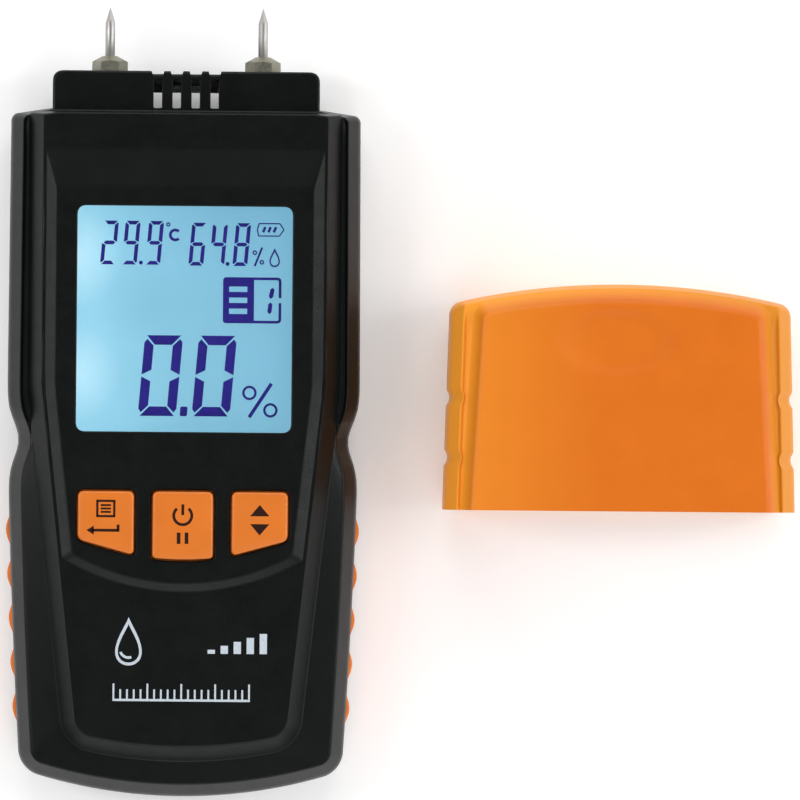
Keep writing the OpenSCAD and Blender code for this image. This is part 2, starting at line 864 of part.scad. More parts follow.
module protective_cap() {
    color(orange)
    translate([cap_x, cap_y, 0])
    difference() {
        union() {
            difference() {
                union() {
                    ladder([
                        [0, cap_outline(cap_half_w, back_chamfer, back_chamfer, 0)],
                        [back_chamfer, cap_outline(cap_half_w, 0, 0, 0)],
                        [rail_z, cap_outline(cap_half_w, 0, 0, 0)],
                        [flank_z, cap_outline(cap_half_w, 2.3, 0.6, 0)]
                    ]);
                    ladder([
                        [flank_z - 1, cap_outline(cap_face, -cap_face_bevel, 0.9, 0)],
                        [body_t, cap_outline(cap_face, 0, cap_face_top, 0)]
                    ]);
                }
                slab(cap_outline(cap_half_w, cap_wall + 1.6, cap_wall + 1.6, -1), [cap_wall, 5]);
                slab(cap_outline(cap_half_w, cap_wall, cap_wall, -1), [back_chamfer + 0.6, rail_z - 1]);
                slab(cap_outline(cap_half_w, cap_wall + 2.5, cap_wall + 1.6, -1),
                    [rail_z - 2, flank_z - 2]);
                slab(cap_outline(cap_face, 0.7, cap_face_top + 1.4, -1), [rail_z, body_t - cap_wall]);
            }
            // ribs inside the rim that grip the probe head
            mirrored()
                for (z = [8, 18])
                    block([head_half_w + cap_fit, cap_half_w[0] - cap_wall + 0.6], [0.5, cap_rib_len],
                        [z - 0.6, z + 0.6]);
            for (x = [-16, 0, 16]) {
                block([x - 0.6, x + 0.6], [0.5, cap_rib_len],
                    [head_front_z + cap_fit, body_t - cap_wall + 0.4]);
                block([x - 0.6, x + 0.6], [0.5, cap_rib_len], [cap_wall - 0.4, head_back_z - cap_fit]);
            }
        }
        // finger notches down both sides
        mirrored()
            for (y = cap_notch_y)
                rod_z([cap_side(y) + cap_notch_r - cap_notch_depth, y], [-1, body_t + 1], cap_notch_r);
    }
}

// ---------- Nodes ----------

front_housing();
rear_housing();
mirror([1, 0, 0]) grip();  // left_grip
grip();  // right_grip
display_window();
lcd_frame();
lcd_panel();
backlight_guide();
backlight_leds();
lcd_connector();
main_board();
microcontroller();
board_components();
switch_bodies();
switch_plunger(-switch_x);  // mode_switch_plunger
switch_plunger(0);  // power_switch_plunger
switch_plunger(switch_x);  // set_switch_plunger
key() mirror([1, 0, 0]) side_key_shape(0);  // mode_button
key() mid_key_shape(0);  // power_button
key() side_key_shape(0);  // set_button
sensor_board();
humidity_sensor();
sensor_leads();
pin(-1);  // left_pin
pin(1);  // right_pin
pin_nut(-1);  // left_pin_nut
pin_nut(1);  // right_pin_nut
pin_socket(-1);  // left_pin_socket
pin_socket(1);  // right_pin_socket
probe_lead(-1);  // left_probe_lead
probe_lead(1);  // right_probe_lead
cell(-cell_pitch, 1);  // battery_left
cell(0, -1);  // battery_middle
cell(cell_pitch, 1);  // battery_right
battery_springs();
battery_contacts();
battery_lead(-1, "firebrick");  // battery_lead_positive
battery_lead(1, "black");  // battery_lead_negative
battery_door();
case_screws();
board_screws();
protective_cap();
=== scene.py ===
import math
import bmesh
import bpy
from mathutils import Matrix, Vector
from mathutils.geometry import delaunay_2d_cdt


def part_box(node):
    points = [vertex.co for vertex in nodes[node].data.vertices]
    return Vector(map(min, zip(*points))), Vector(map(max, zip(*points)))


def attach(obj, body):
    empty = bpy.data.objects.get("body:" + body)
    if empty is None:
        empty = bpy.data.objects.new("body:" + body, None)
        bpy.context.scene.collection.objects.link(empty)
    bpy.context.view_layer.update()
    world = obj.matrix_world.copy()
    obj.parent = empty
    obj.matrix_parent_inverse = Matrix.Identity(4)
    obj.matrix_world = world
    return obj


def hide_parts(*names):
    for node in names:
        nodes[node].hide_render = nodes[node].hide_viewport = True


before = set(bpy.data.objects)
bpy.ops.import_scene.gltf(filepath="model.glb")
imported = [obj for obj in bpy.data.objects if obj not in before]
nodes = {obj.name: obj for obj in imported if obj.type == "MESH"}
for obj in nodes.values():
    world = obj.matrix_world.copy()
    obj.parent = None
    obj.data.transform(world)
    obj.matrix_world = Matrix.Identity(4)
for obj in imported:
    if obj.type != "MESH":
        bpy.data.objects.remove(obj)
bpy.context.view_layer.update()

# The looks of the moisture meter and its cap. Blender is in metres; shape values below are in millimetres.
MM = 0.001


def box_mm(node):
    low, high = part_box(node)
    return Vector(low) / MM, Vector(high) / MM


# ---- Driving sizes
front_low, front_high = box_mm("front_housing")
cap_low, cap_high = box_mm("protective_cap")
window_low, window_high = box_mm("display_window")
panel_low, panel_high = box_mm("lcd_panel")
door_low, door_high = box_mm("battery_door")
socket_low, socket_high = box_mm("right_pin_socket")
KEY_BOX = {name: box_mm(name + "_button") for name in ("mode", "power", "set")}

FACE_Z = front_high.z
SPLIT_Z = front_low.z
TAIL_Y = front_low.y
HEAD_TOP_Y = front_high.y
HEAD_LEN = 6.7
SHOULDER_Y = HEAD_TOP_Y - HEAD_LEN
HEAD_W = 23.7
LED_Y = (14.2, 34.8)
HEAD_R = 2
HEAD_Z = (3.5, 22.5)
ROOF_Z = window_high.z
RECESS_Z = FACE_Z - 0.8
PIN_X = (socket_low.x + socket_high.x) / 2
PIN_Z = (socket_low.z + socket_high.z) / 2

HALF_TOP = 31.0
HALF_MID = 31.3
MID_Y = 8
WAIST_Y = 2.4
WAIST_LEN = 4.4
WAIST_DEPTH = 1.9
ARCH_R = 90
ARCH_Y = TAIL_Y + ARCH_R
FACE_EDGE = 25.2
FACE_TAPER_Y = 12
FACE_BEVEL = 2.6
FACE_TOP_Y = 60.6
FACE_ARCH_R = 81
RECESS_TOP_Y = 54
RECESS_FLOOR_Y = 47.4
RECESS_ARCH_R = 41.7
RECESS_ARCH_Y = 17.1
BACK_CHAMFER = 3
VENT_PITCH = 3.37
VENT_W = 1.5
VENT_Y = (61.3, 66.4)
KEY_ARCH_R = 51.9
KEY_ARCH_Y = 33.2
KEY_TOP_Y = -6.65
KEY_SIDE = (8.65, 18.6)
KEY_MID = 5.37
KEY_GAP = 0.3
KEY_TOP_Z = KEY_BOX["power"][1].z
WINDOW_SIZE = (38.1, 40)
GRIP_Y = (-2.5, -50.5)
GRIP_Z = (3.9, 12.5)
BAY_X = 17.2
BAY_Y = (-55.8, -5)
BAY_ROOF_Z = 12.85
LATCH_Y = door_high.y
SCREW_AT = [(25.4, 54.8), (-25.4, 54.8), (23.6, -48.5), (-23.6, -48.5)]
CAP_X = (cap_low.x + cap_high.x) / 2
CAP_RIM_Y = cap_low.y
CAP_LEN = cap_high.y - cap_low.y
CAP_HALF = (31.2, 30.2)
CAP_PANEL = (26.4, 24.5)
CAP_ARCH_R = 127.6
CAP_WALL = 1.9
CAP_NOTCH_R = 2
CAP_NOTCH_DEPTH = 0.55
CAP_NOTCH_Y = (9.2, 19.9)


# ---- Small geometry helpers
def lerp(a, b, t):
    return a + (b - a) * t


def smooth(low, high, v):
    t = min(max((v - low) / (high - low), 0), 1)
    return t * t * (3 - 2 * t)


def arc(centre, r, a0, a1, n):
    """n + 1 points of an arc, angles in degrees."""
    turn = [math.radians(lerp(a0, a1, i / n)) for i in range(n + 1)]
    return [(centre[0] + r * math.cos(a), centre[1] + r * math.sin(a)) for a in turn]


def bend(a, p, b, n):
    """n + 1 points that round the corner p between a and b."""
    out = []
    for i in range(n + 1):
        t = i / n
        u = 1 - t
        out.append(tuple(u * u * a[k] + 2 * u * t * p[k] + t * t * b[k] for k in (0, 1)))
    return out


def round_corners(points, r, n=5):
    """A closed outline with each of its corners rounded."""
    out = []
    for i, p in enumerate(points):
        p = Vector(p)
        a = Vector(points[i - 1]) - p
        b = Vector(points[(i + 1) % len(points)]) - p
        reach = min(r, 0.49 * a.length, 0.49 * b.length)
        out += bend(p + a.normalized() * reach, p, p + b.normalized() * reach, n)
    return out


def at_height(points, z):
    """Outline points lifted to z, which is a number or a function of y."""
    return [Vector((x, y, z(y) if callable(z) else z)) for x, y in points]


def both_sides(half):
    """A closed outline from its right half, which runs from the axis to the axis."""
    return half + [(-x, y) for x, y in reversed(half[1:-1])]


def rounded(rings, radii, steps=4):
    """The rings of a loft with its edges rounded: radii[i] is the size of the round at rings[i]."""
    out = [rings[0]]
    for i in range(1, len(rings) - 1):
        before, here, after = rings[i - 1], rings[i], rings[i + 1]
        r = radii[i]
        if not r:
            out.append(here)
            continue
        share_a = 0.45 if i > 1 else 0.95
        share_b = 0.45 if i < len(rings) - 2 else 0.95
        for s in range(steps + 1):
            t = s / steps
            ring = []
            for a, p, b in zip(before, here, after):
                start = p + (a - p).normalized() * min(r, share_a * (a - p).length)
                end = p + (b - p).normalized() * min(r, share_b * (b - p).length)
                ring.append(start * (1 - t) ** 2 + p * 2 * t * (1 - t) + end * t * t)
            out.append(ring)
    out.append(rings[-1])
    return out


def is_inside(loop, x, y):
    hit = False
    for (x0, y0), (x1, y1) in zip(loop, loop[1:] + loop[:1]):
        if (y0 > y) != (y1 > y) and x < (x1 - x0) * (y - y0) / (y1 - y0) + x0:
            hit = not hit
    return hit


class Skin:
    """Collects faces in millimetres and makes one smooth object of them."""

    def __init__(self):
        self.mesh = bmesh.new()

    def verts(self, points):
        return [self.mesh.verts.new(p * MM) for p in points]

    def loft(self, rings, closed=True):
        rows = [self.verts(r) for r in rings]
        count = len(rows[0])
        for a, b in zip(rows, rows[1:]):
            for i in range(count if closed else count - 1):
                j = (i + 1) % count
                self.mesh.faces.new((a[i], a[j], b[j], b[i]))

    def fill(self, outer, holes=(), inner_points=(), axes=(0, 1)):
        """A flat face with holes. Points inside it, if any, let it be dished."""
        loops = [outer, *holes]
        points = [p for loop in loops for p in loop]
        edges = []
        start = 0
        for loop in loops:
            edges += [(start + i, start + (i + 1) % len(loop)) for i in range(len(loop))]
            start += len(loop)
        points += list(inner_points)
        flat = [Vector((p[axes[0]], p[axes[1]])) for p in points]
        _, _, tris, origin, _, _ = delaunay_2d_cdt(flat, edges, [], 0, 1e-6)
        corners = self.verts([points[o[0]] for o in origin])
        plans = [[(p[axes[0]], p[axes[1]]) for p in loop] for loop in loops]
        for tri in tris:
            x = sum(flat[origin[i][0]].x for i in tri) / 3
            y = sum(flat[origin[i][0]].y for i in tri) / 3
            if is_inside(plans[0], x, y) and not any(is_inside(h, x, y) for h in plans[1:]):
                self.mesh.faces.new([corners[i] for i in tri])

    def plate(self, outline, z):
        self.fill(at_height(outline, z))

    def block(self, x, y, z, r=0.15):
        """A box with softened edges."""
        ring = round_corners([(x[0], y[0]), (x[1], y[0]), (x[1], y[1]), (x[0], y[1])], r, 2)
        x0, x1, y0, y1 = x[0] + r, x[1] - r, y[0] + r, y[1] - r
        small = round_corners([(x0, y0), (x1, y0), (x1, y1), (x0, y1)], r / 2, 2)
        rings = [at_height(small, z[0]), at_height(ring, z[0] + r), at_height(ring, z[1] - r),
                 at_height(small, z[1])]
        self.loft(rings)
        self.fill(rings[0])
        self.fill(rings[-1])

    def finish(self, name, material, body, replaced=(), sharp=38):
        bm = self.mesh
        bmesh.ops.remove_doubles(bm, verts=bm.verts, dist=2e-6)
        bmesh.ops.dissolve_degenerate(bm, edges=bm.edges, dist=1e-6)
        bmesh.ops.recalc_face_normals(bm, faces=bm.faces)
        mesh = bpy.data.meshes.new(name)
        bm.to_mesh(mesh)
        bm.free()
        mesh.shade_smooth()
        mesh.set_sharp_from_angle(angle=math.radians(sharp))
        mesh.materials.append(material)
        obj = bpy.data.objects.new(name, mesh)
        bpy.context.scene.collection.objects.link(obj)
        weighted = obj.modifiers.new("even_normals", "WEIGHTED_NORMAL")
        weighted.keep_sharp = True
        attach(obj, body)
        if replaced:
            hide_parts(*replaced)
        return obj


# ---- Materials
def map_range(tree, value, start, end, low, high):
    """A node that takes start to end onto low to high."""
    made = tree.nodes.new("ShaderNodeMapRange")
    tree.links.new(value, made.inputs["Value"])
    for name, number in (("From Min", start), ("From Max", end), ("To Min", low), ("To Max", high)):
        made.inputs[name].default_value = number
    return made.outputs[0]


class Shade:
    """A short way to build a node material."""

    def __init__(self, name):
        self.material = bpy.data.materials.new(name)
        self.material.use_nodes = True
        self.tree = self.material.node_tree
        self.shader = self.tree.nodes["Principled BSDF"]
        self.coords = self.node("ShaderNodeTexCoord").outputs["Object"]

    def put(self, socket, value):
        """Feed a socket from another one, or set its value."""
        if isinstance(value, bpy.types.NodeSocket):
            self.tree.links.new(value, socket)
        else:
            socket.default_value = value

    def node(self, kind, **inputs):
        made = self.tree.nodes.new(kind)
        for key, value in inputs.items():
            self.put(made.inputs[key.replace("_", " ")], value)
        return made

    def noise(self, size_mm, detail=2.0, stretch=None):
        where = self.coords
        if stretch:
            where = self.node("ShaderNodeMapping", Vector=self.coords, Scale=stretch).outputs[0]
        scale = 1 / (size_mm * MM)
        return self.node("ShaderNodeTexNoise", Vector=where, Scale=scale, Detail=detail).outputs[0]

    def spread(self, value, low, high, start=0.3, end=0.7):
        """A value between low and high that follows a noise."""
        return map_range(self.tree, value, start, end, low, high)

    def blend(self, factor, a, b):
        made = self.tree.nodes.new("ShaderNodeMix")
        made.data_type = "RGBA"
        self.put(made.inputs[0], factor)
        self.put(made.inputs[6], a)
        self.put(made.inputs[7], b)
        return made.outputs[2]

    def math(self, operation, a, b):
        made = self.tree.nodes.new("ShaderNodeMath")
        made.operation = operation
        self.put(made.inputs[0], a)
        self.put(made.inputs[1], b)
        return made.outputs[0]

    def distance(self, x, y, z):
        """How far each point is from a place in millimetres."""
        made = self.node("ShaderNodeVectorMath", Vector=self.coords)
        made.operation = "DISTANCE"
        made.inputs[1].default_value = (x * MM, y * MM, z * MM)
        return made.outputs["Value"]

    def link(self, value, socket):
        self.tree.links.new(value, self.shader.inputs[socket])

    def set(self, **values):
        for key, value in values.items():
            self.shader.inputs[key.replace("_", " ")].default_value = value

    def bump(self, height, depth_mm):
        made = self.node("ShaderNodeBump", Height=height, Strength=1.0, Distance=depth_mm * MM)
        self.link(made.outputs[0], "Normal")


def rgba(r, g, b):
    return (r, g, b, 1)


def darker(colour, k):
    return (colour[0] * k, colour[1] * k, colour[2] * k, 1)


def moulded(name, colour, roughness, grain_mm=0.28, grain_depth=0.012, mottle=0.12, specular=0.5):
    """Moulded plastic: fine spark-eroded grain, faint flow mottling and uneven gloss."""
    s = Shade(name)
    grain = s.noise(grain_mm, 3.0)
    patches = s.noise(9, 3.0)
    tone = s.blend(s.spread(patches, 0, 1), darker(colour, 1 - mottle), darker(colour, 1 + mottle))
    s.link(tone, "Base Color")
    patchy = s.spread(s.noise(3, 2.0), roughness - 0.03, roughness + 0.03)
    s.link(s.math("ADD", s.spread(grain, -0.05, 0.05), patchy), "Roughness")
    s.bump(grain, grain_depth)
    s.set(Specular_IOR_Level=specular)
    return s.material


def metal(name, colour, roughness, streak=(1, 1, 1), tarnish=(0.4, 0.38, 0.33)):
    """Turned or ground metal: fine streaks along one axis and a little tarnish."""
    s = Shade(name)
    streaks = s.noise(0.5, 4.0, streak)
    stains = s.noise(1.8, 3.0)
    dull = rgba(*[lerp(c, t, 0.5) for c, t in zip(colour, tarnish)])
    s.link(s.blend(s.spread(stains, 0, 1, 0.45, 0.8), rgba(*colour), dull), "Base Color")
    s.link(s.spread(streaks, roughness - 0.08, roughness + 0.12), "Roughness")
    s.bump(streaks, 0.004)
    s.set(Metallic=1.0)
    return s.material


BLACK = (0.0036, 0.0045, 0.0043)
ORANGE = (0.70, 0.165, 0.012)
black_plastic = moulded("housing_black", BLACK, 0.34, 0.3, 0.02, 0.2, 0.16)
key_plastic = moulded("key_orange", (0.62, 0.155, 0.012), 0.36, 0.2, 0.006, 0.05)
grip_plastic = moulded("grip_orange", ORANGE, 0.6, 0.45, 0.02, 0.08, 0.4)
white_plastic = moulded("frame_white", (0.75, 0.75, 0.72), 0.4)
chip_plastic = moulded("chip_black", (0.012, 0.012, 0.014), 0.45, 0.15)
switch_plastic = moulded("switch_black", (0.02, 0.02, 0.02), 0.4, 0.2)
ivory_plastic = moulded("plunger_ivory", (0.62, 0.56, 0.4), 0.35, 0.2)
pin_metal = metal("pin_steel", (0.42, 0.41, 0.4), 0.42, (1, 0.08, 1))
nut_metal = metal("nut_nickel", (0.27, 0.265, 0.21), 0.44)
brass = metal("socket_brass", (0.55, 0.4, 0.16), 0.3, (1, 0.1, 1))
spring_metal = metal("spring_steel", (0.6, 0.6, 0.57), 0.25)
screw_metal = metal("screw_steel", (0.07, 0.07, 0.075), 0.35)


def cap_orange():
    """Orange plastic with painted light: lighter and yellower down its thin sides than on its top panel, and
    lighter on its left side than its right.
    """
    s = Shade("cap_orange")
    place = s.node("ShaderNodeSeparateXYZ", Vector=s.coords)
    panel = s.spread(place.outputs[2], 0, 1, cap_high.z * MM - 0.0032, cap_high.z * MM - 0.0006)
    patches = s.spread(s.noise(7, 3.0), 0, 1)
    # Painted light: the sides are coloured lighter and yellower than the panel, and lighter on the left than
    # on the right, for light falling on and through the thin walls.
    across = s.spread(place.outputs[0], 0, 1, cap_low.x * MM, cap_high.x * MM)
    side = s.blend(across, rgba(0.87, 0.32, 0.027), rgba(0.63, 0.225, 0.013))
    top = s.blend(patches, rgba(0.60, 0.133, 0.004), rgba(0.63, 0.143, 0.005))
    # Painted highlight: the top panel is coloured lighter along its left edge, blending towards the side
    # colour.
    lit_edge = s.spread(place.outputs[0], 0.4, 0, cap_low.x * MM + 0.004, cap_low.x * MM + 0.028)
    top = s.blend(lit_edge, top, side)
    s.link(s.blend(panel, side, top), "Base Color")
    grain = s.noise(0.3, 3.0)
    s.link(s.spread(grain, 0.4, 0.5), "Roughness")
    s.bump(grain, 0.012)
    s.set(Specular_IOR_Level=0.25)
    return s.material


cap_plastic = cap_orange()


def ink(name, colour, roughness=0.5):
    """Pad-printed ink, a little uneven."""
    s = Shade(name)
    s.link(s.blend(s.spread(s.noise(0.5, 3.0), 0, 1), darker(colour, 0.85), rgba(*colour)), "Base Color")
    s.link(s.spread(s.noise(0.3), roughness - 0.08, roughness + 0.08), "Roughness")
    s.set(Specular_IOR_Level=0.15)
    return s.material


pale_ink = ink("print_pale", (0.5, 0.56, 0.62))
key_ink = ink("print_brown", (0.022, 0.005, 0.002), 0.6)


def lcd_glass():
    """The lit display: cool blue, brightest by the two LEDs at its left edge."""
    s = Shade("lcd_blue")
    place = s.node("ShaderNodeSeparateXYZ", Vector=s.coords)
    across = s.spread(place.outputs[0], 0, 1, panel_low.x * MM, panel_high.x * MM)
    up = s.spread(place.outputs[1], 0, 1, panel_low.y * MM, panel_high.y * MM)
    edge_glow = s.math("POWER", s.math("SUBTRACT", 1.0, across), 3.0)
    base = s.blend(across, rgba(0.225, 0.505, 0.64), rgba(0.19, 0.44, 0.58))
    base = s.blend(s.spread(up, 0, 0.5, 0.55, 1.0), base, rgba(0.15, 0.39, 0.55))
    lit = s.blend(edge_glow, base, rgba(0.33, 0.68, 0.84))
    for led_y in LED_Y:
        near = s.spread(s.distance(panel_low.x, led_y, panel_high.z), 0.75, 0, 0, 9 * MM)
        lit = s.blend(near, lit, rgba(0.62, 0.9, 1.0))
    # A darker patch in the display's glow, 9 mm across, left of its middle.
    darker_patch = s.distance(-6, 26, panel_high.z)
    lit = s.blend(s.spread(darker_patch, 0.25, 0, 0, 9 * MM), lit, rgba(0.14, 0.37, 0.52))
    film = s.spread(s.noise(14, 2.0), 0.97, 1.03)
    s.link(lit, "Emission Color")
    s.link(film, "Emission Strength")
    s.link(s.spread(s.noise(0.2), 0.22, 0.3), "Roughness")
    s.set(Base_Color=rgba(0.05, 0.09, 0.11))
    return s.material


def window_glass():
    s = Shade("window_clear")
    s.set(Base_Color=rgba(0.93, 0.97, 1.0), IOR=1.14, Transmission_Weight=1.0)
    s.link(s.spread(s.noise(6, 2.0), 0.0, 0.03), "Roughness")
    return s.material


def wire_skin(name, colour):
    s = Shade(name)
    s.link(s.blend(s.spread(s.noise(1.2), 0, 1), darker(colour, 0.8), rgba(*colour)), "Base Color")
    s.link(s.spread(s.noise(0.4), 0.35, 0.5), "Roughness")
    s.bump(s.noise(0.4, 2.0), 0.006)
    return s.material


def board_skin(name, colour, trace):
    """Solder mask over copper: routed tracks, pads and a faint weave."""
    s = Shade(name)
    cells = s.node("ShaderNodeTexBrick", Vector=s.coords, Scale=1.0)
    cells.inputs["Scale"].default_value = 1 / (26 * MM)
    cells.inputs["Mortar Size"].default_value = 0.012
    cells.inputs["Color1"].default_value = rgba(0, 0, 0)
    cells.inputs["Color2"].default_value = rgba(0.15, 0.15, 0.15)
    cells.inputs["Mortar"].default_value = rgba(1, 1, 1)
    tone = s.blend(s.spread(s.noise(5), 0, 1), darker(colour, 0.85), rgba(*colour))
    s.link(s.blend(cells.outputs[0], tone, rgba(*trace)), "Base Color")
    s.link(s.spread(s.noise(0.6), 0.25, 0.4), "Roughness")
    s.bump(cells.outputs[0], 0.02)
    return s.material


def cell_wrap():
    """A dry cell's printed foil: dark blue with two pale bands near one end."""
    s = Shade("cell_wrap")
    place = s.node("ShaderNodeSeparateXYZ", Vector=s.coords)
    bands = s.math("PINGPONG", s.math("ADD", place.outputs[1], 0.06), 0.011)
    stripe = s.math("LESS_THAN", bands, 0.0012)
    tone = s.blend(s.spread(s.noise(4), 0, 1), rgba(0.012, 0.03, 0.12), rgba(0.018, 0.045, 0.17))
    s.link(s.blend(stripe, tone, rgba(0.55, 0.56, 0.58)), "Base Color")
    s.link(s.spread(s.noise(0.8), 0.2, 0.35), "Roughness")
    s.set(Metallic=0.35)
    return s.material


def mixed_parts():
    """Small components: tan capacitors and dark resistors, by where each sits."""
    s = Shade("component_mixed")
    patch = s.node("ShaderNodeTexVoronoi", Vector=s.coords, Scale=1 / (5 * MM))
    which = s.spread(patch.outputs["Distance"], 0, 1)
    s.link(s.blend(which, rgba(0.34, 0.22, 0.11), rgba(0.05, 0.05, 0.055)), "Base Color")
    s.link(s.spread(s.noise(0.5), 0.3, 0.5), "Roughness")
    s.bump(s.noise(0.3), 0.006)
    return s.material


lcd_blue = lcd_glass()
clear_window = window_glass()
red_wire = wire_skin("wire_red", (0.42, 0.02, 0.015))
black_wire = wire_skin("wire_black", (0.012, 0.012, 0.012))
grey_wire = wire_skin("wire_grey", (0.12, 0.12, 0.12))
zebra_rubber = wire_skin("connector_pink", (0.45, 0.2, 0.22))
lcd_ink = ink("lcd_segment", (0.03, 0.02, 0.24), 0.35)
milky_guide = moulded("guide_milky", (0.72, 0.8, 0.88), 0.3, 0.8, 0.01, 0.03)
led_body = moulded("led_yellow", (0.75, 0.7, 0.35), 0.25, 0.3, 0.004, 0.05)
green_board = board_skin("board_green", (0.006, 0.07, 0.028), (0.012, 0.13, 0.05))
# The sensor board's light grey and the sensor's grey-blue are made paler than their own colours, as painted
# light for the shade they sit in behind the air slots.
sensor_board_painted_lighter = board_skin("sensor_board", (0.62, 0.6, 0.56), (0.72, 0.7, 0.66))
sensor_blue = moulded("sensor_blue", (0.4, 0.46, 0.52), 0.4, 0.4, 0.02)

CAD_LOOKS = {
    "display_window": clear_window,
    "lcd_frame": white_plastic,
    "lcd_panel": lcd_blue,
    "backlight_guide": milky_guide,
    "backlight_leds": led_body,
    "lcd_connector": zebra_rubber,
    "main_board": green_board,
    "microcontroller": chip_plastic,
    "board_components": mixed_parts(),
    "switch_bodies": switch_plastic,
    "humidity_sensor": sensor_blue,
    "sensor_leads": grey_wire,
    "battery_springs": spring_metal,
    "battery_contacts": spring_metal,
    "battery_lead_positive": red_wire,
    "battery_lead_negative": black_wire,
    "battery_door": black_plastic,
    "case_screws": screw_metal,
    "board_screws": screw_metal,
}
for end, lead in (("left_", black_wire), ("right_", red_wire)):
    CAD_LOOKS.update({end + "pin": pin_metal, end + "pin_nut": nut_metal, end + "pin_socket": brass,
                      end + "probe_lead": lead})
for key_name in KEY_BOX:
    CAD_LOOKS[key_name + "_switch_plunger"] = ivory_plastic
CELLS = ["battery_left", "battery_middle", "battery_right"]
CAD_LOOKS.update(dict.fromkeys(CELLS, cell_wrap()))

# How far the edges of the CAD nodes are eased, in millimetres
EASED = {
    0.35: CELLS,
    0.25: ["battery_door"],
    0.15: ["left_pin_nut", "right_pin_nut", "lcd_frame", "switch_bodies", "humidity_sensor",
           *[key_name + "_switch_plunger" for key_name in KEY_BOX]],
    0.12: ["case_screws", "display_window"],
    0.1: ["left_pin_socket", "right_pin_socket", "backlight_guide", "backlight_leds", "lcd_connector"],
    0.08: ["board_screws", "microcontroller", "board_components", "lcd_panel"],
    0.06: ["main_board"],
    0.05: ["left_pin", "right_pin", "battery_contacts"],
}


def ease_edges(obj, width):
    weld = obj.modifiers.new("weld", "WELD")
    weld.merge_threshold = 2e-6
    bevel = obj.modifiers.new("edges", "BEVEL")
    bevel.width = width * MM
    bevel.segments = 2
    bevel.limit_method = "ANGLE"
    bevel.angle_limit = math.radians(40)
    bevel.harden_normals = True


def dress_cad_nodes():
    for name, material in CAD_LOOKS.items():
        obj = nodes[name]
        if not obj.material_slots:
            obj.data.materials.append(material)
        for slot in obj.material_slots:
            slot.link = "OBJECT"
            slot.material = material
    for width, names in EASED.items():
        for name in names:
            ease_edges(nodes[name], width)


# ---- Outlines of the meter
def side_width(y):
    s = MID_Y - y
    if s < 0:
        return lerp(HALF_TOP, HALF_MID, (SHOULDER_Y - y) / (SHOULDER_Y - MID_Y))
    return HALF_MID - 0.019 * s - 0.00035 * s * s


def shell_width(y):
    return side_width(y) - WAIST_DEPTH * math.exp(-(((y - WAIST_Y) / WAIST_LEN) ** 2))


def face_width(y):
    return FACE_EDGE - 0.108 * max(0, FACE_TAPER_Y - y)


def side_fractions(low, high, extra=()):
    """How far down the side each station is: closer together at the waist, and exactly at the extra ones."""
    at = [lerp(high, low, i / 44) for i in range(1, 44)]
    at += [WAIST_Y + 0.35 * WAIST_LEN * i for i in range(-8, 9)]
    at += list(extra)
    return sorted((high - y) / (high - low) for y in at)


SIDE = side_fractions(-54, 59, [y + d for y in GRIP_Y for d in (-0.03, 0.03)])


def half_outline(width, inset, top, drop, top_r, arch_r, corner_r):
    """Right half of an outline: a top edge, a shoulder, a side, a tail corner and an arch."""
    corner_y = TAIL_Y + 8
    for _ in range(4):
        full = width(corner_y)
        corner_x = full - corner_r
        corner_y = ARCH_Y - math.sqrt((arch_r - corner_r) ** 2 - corner_x ** 2)
    spread = math.degrees(math.asin(corner_x / (arch_r - corner_r)))
    small = max(corner_r - inset, 0.3)
    centre_x = corner_x if corner_r > inset else full - inset - small
    side_top = top - drop - top_r
    w = width(side_top) - inset
    flat = min(HEAD_W, w - top_r - 2)
    half = [(flat * i / 6, top) for i in range(7)]
    half += arc((w - top_r, side_top), top_r, 90, 0, 8)
    for u in SIDE:
        y = lerp(side_top, corner_y, u)
        half.append((width(y) - inset, y))
    half += arc((centre_x, corner_y), small, 0, spread - 90, 10)
    for i in range(1, 17):
        a = math.radians(spread * (1 - i / 16))
        half.append(((arch_r - inset) * math.sin(a), ARCH_Y - (arch_r - inset) * math.cos(a)))
    return half


def shell(inset, top_inset=0.0, width=shell_width):
    return both_sides(half_outline(width, inset, SHOULDER_Y - top_inset, 0.9, 1.4, ARCH_R, 5))


def face(grow, top_y=FACE_TOP_Y):
    return both_sides(half_outline(face_width, -grow, top_y, 0.3, 0.6, FACE_ARCH_R, 4))


def recess(inset, top_y):
    """The recess in the face, with as many points as the other outlines."""
    r = RECESS_ARCH_R - inset
    side = lambda y: face_width(y) - 0.6 - inset
    end_x = side(-18)
    end_y = RECESS_ARCH_Y - math.sqrt(r * r - end_x * end_x)
    turn = math.asin(end_x / r)
    w = side(top_y - 0.8)
    half = [((w - 2.8) * i / 6, top_y) for i in range(7)]
    half += bend((w - 0.8, top_y), (w, top_y), (w, top_y - 0.8), 8)
    for u in SIDE:
        y = lerp(top_y - 0.8, end_y + 1, u)
        half.append((side(y), y))
    half += bend((side(end_y + 1), end_y + 1), (end_x, end_y),
                 (end_x - math.cos(turn), end_y - math.sin(turn)), 10)
    start = math.asin((end_x - math.cos(turn)) / r)
    for i in range(1, 17):
        a = start * (1 - i / 16)
        half.append((r * math.sin(a), RECESS_ARCH_Y - r * math.cos(a)))
    return both_sides(half)


def window_outline(grow):
    x = WINDOW_SIZE[0] / 2 + grow
    y = WINDOW_SIZE[1] / 2 + grow
    mid = (window_low.y + window_high.y) / 2
    return round_corners([(-x, mid - y), (x, mid - y), (x, mid + y), (-x, mid + y)], 1.6 + grow, 6)


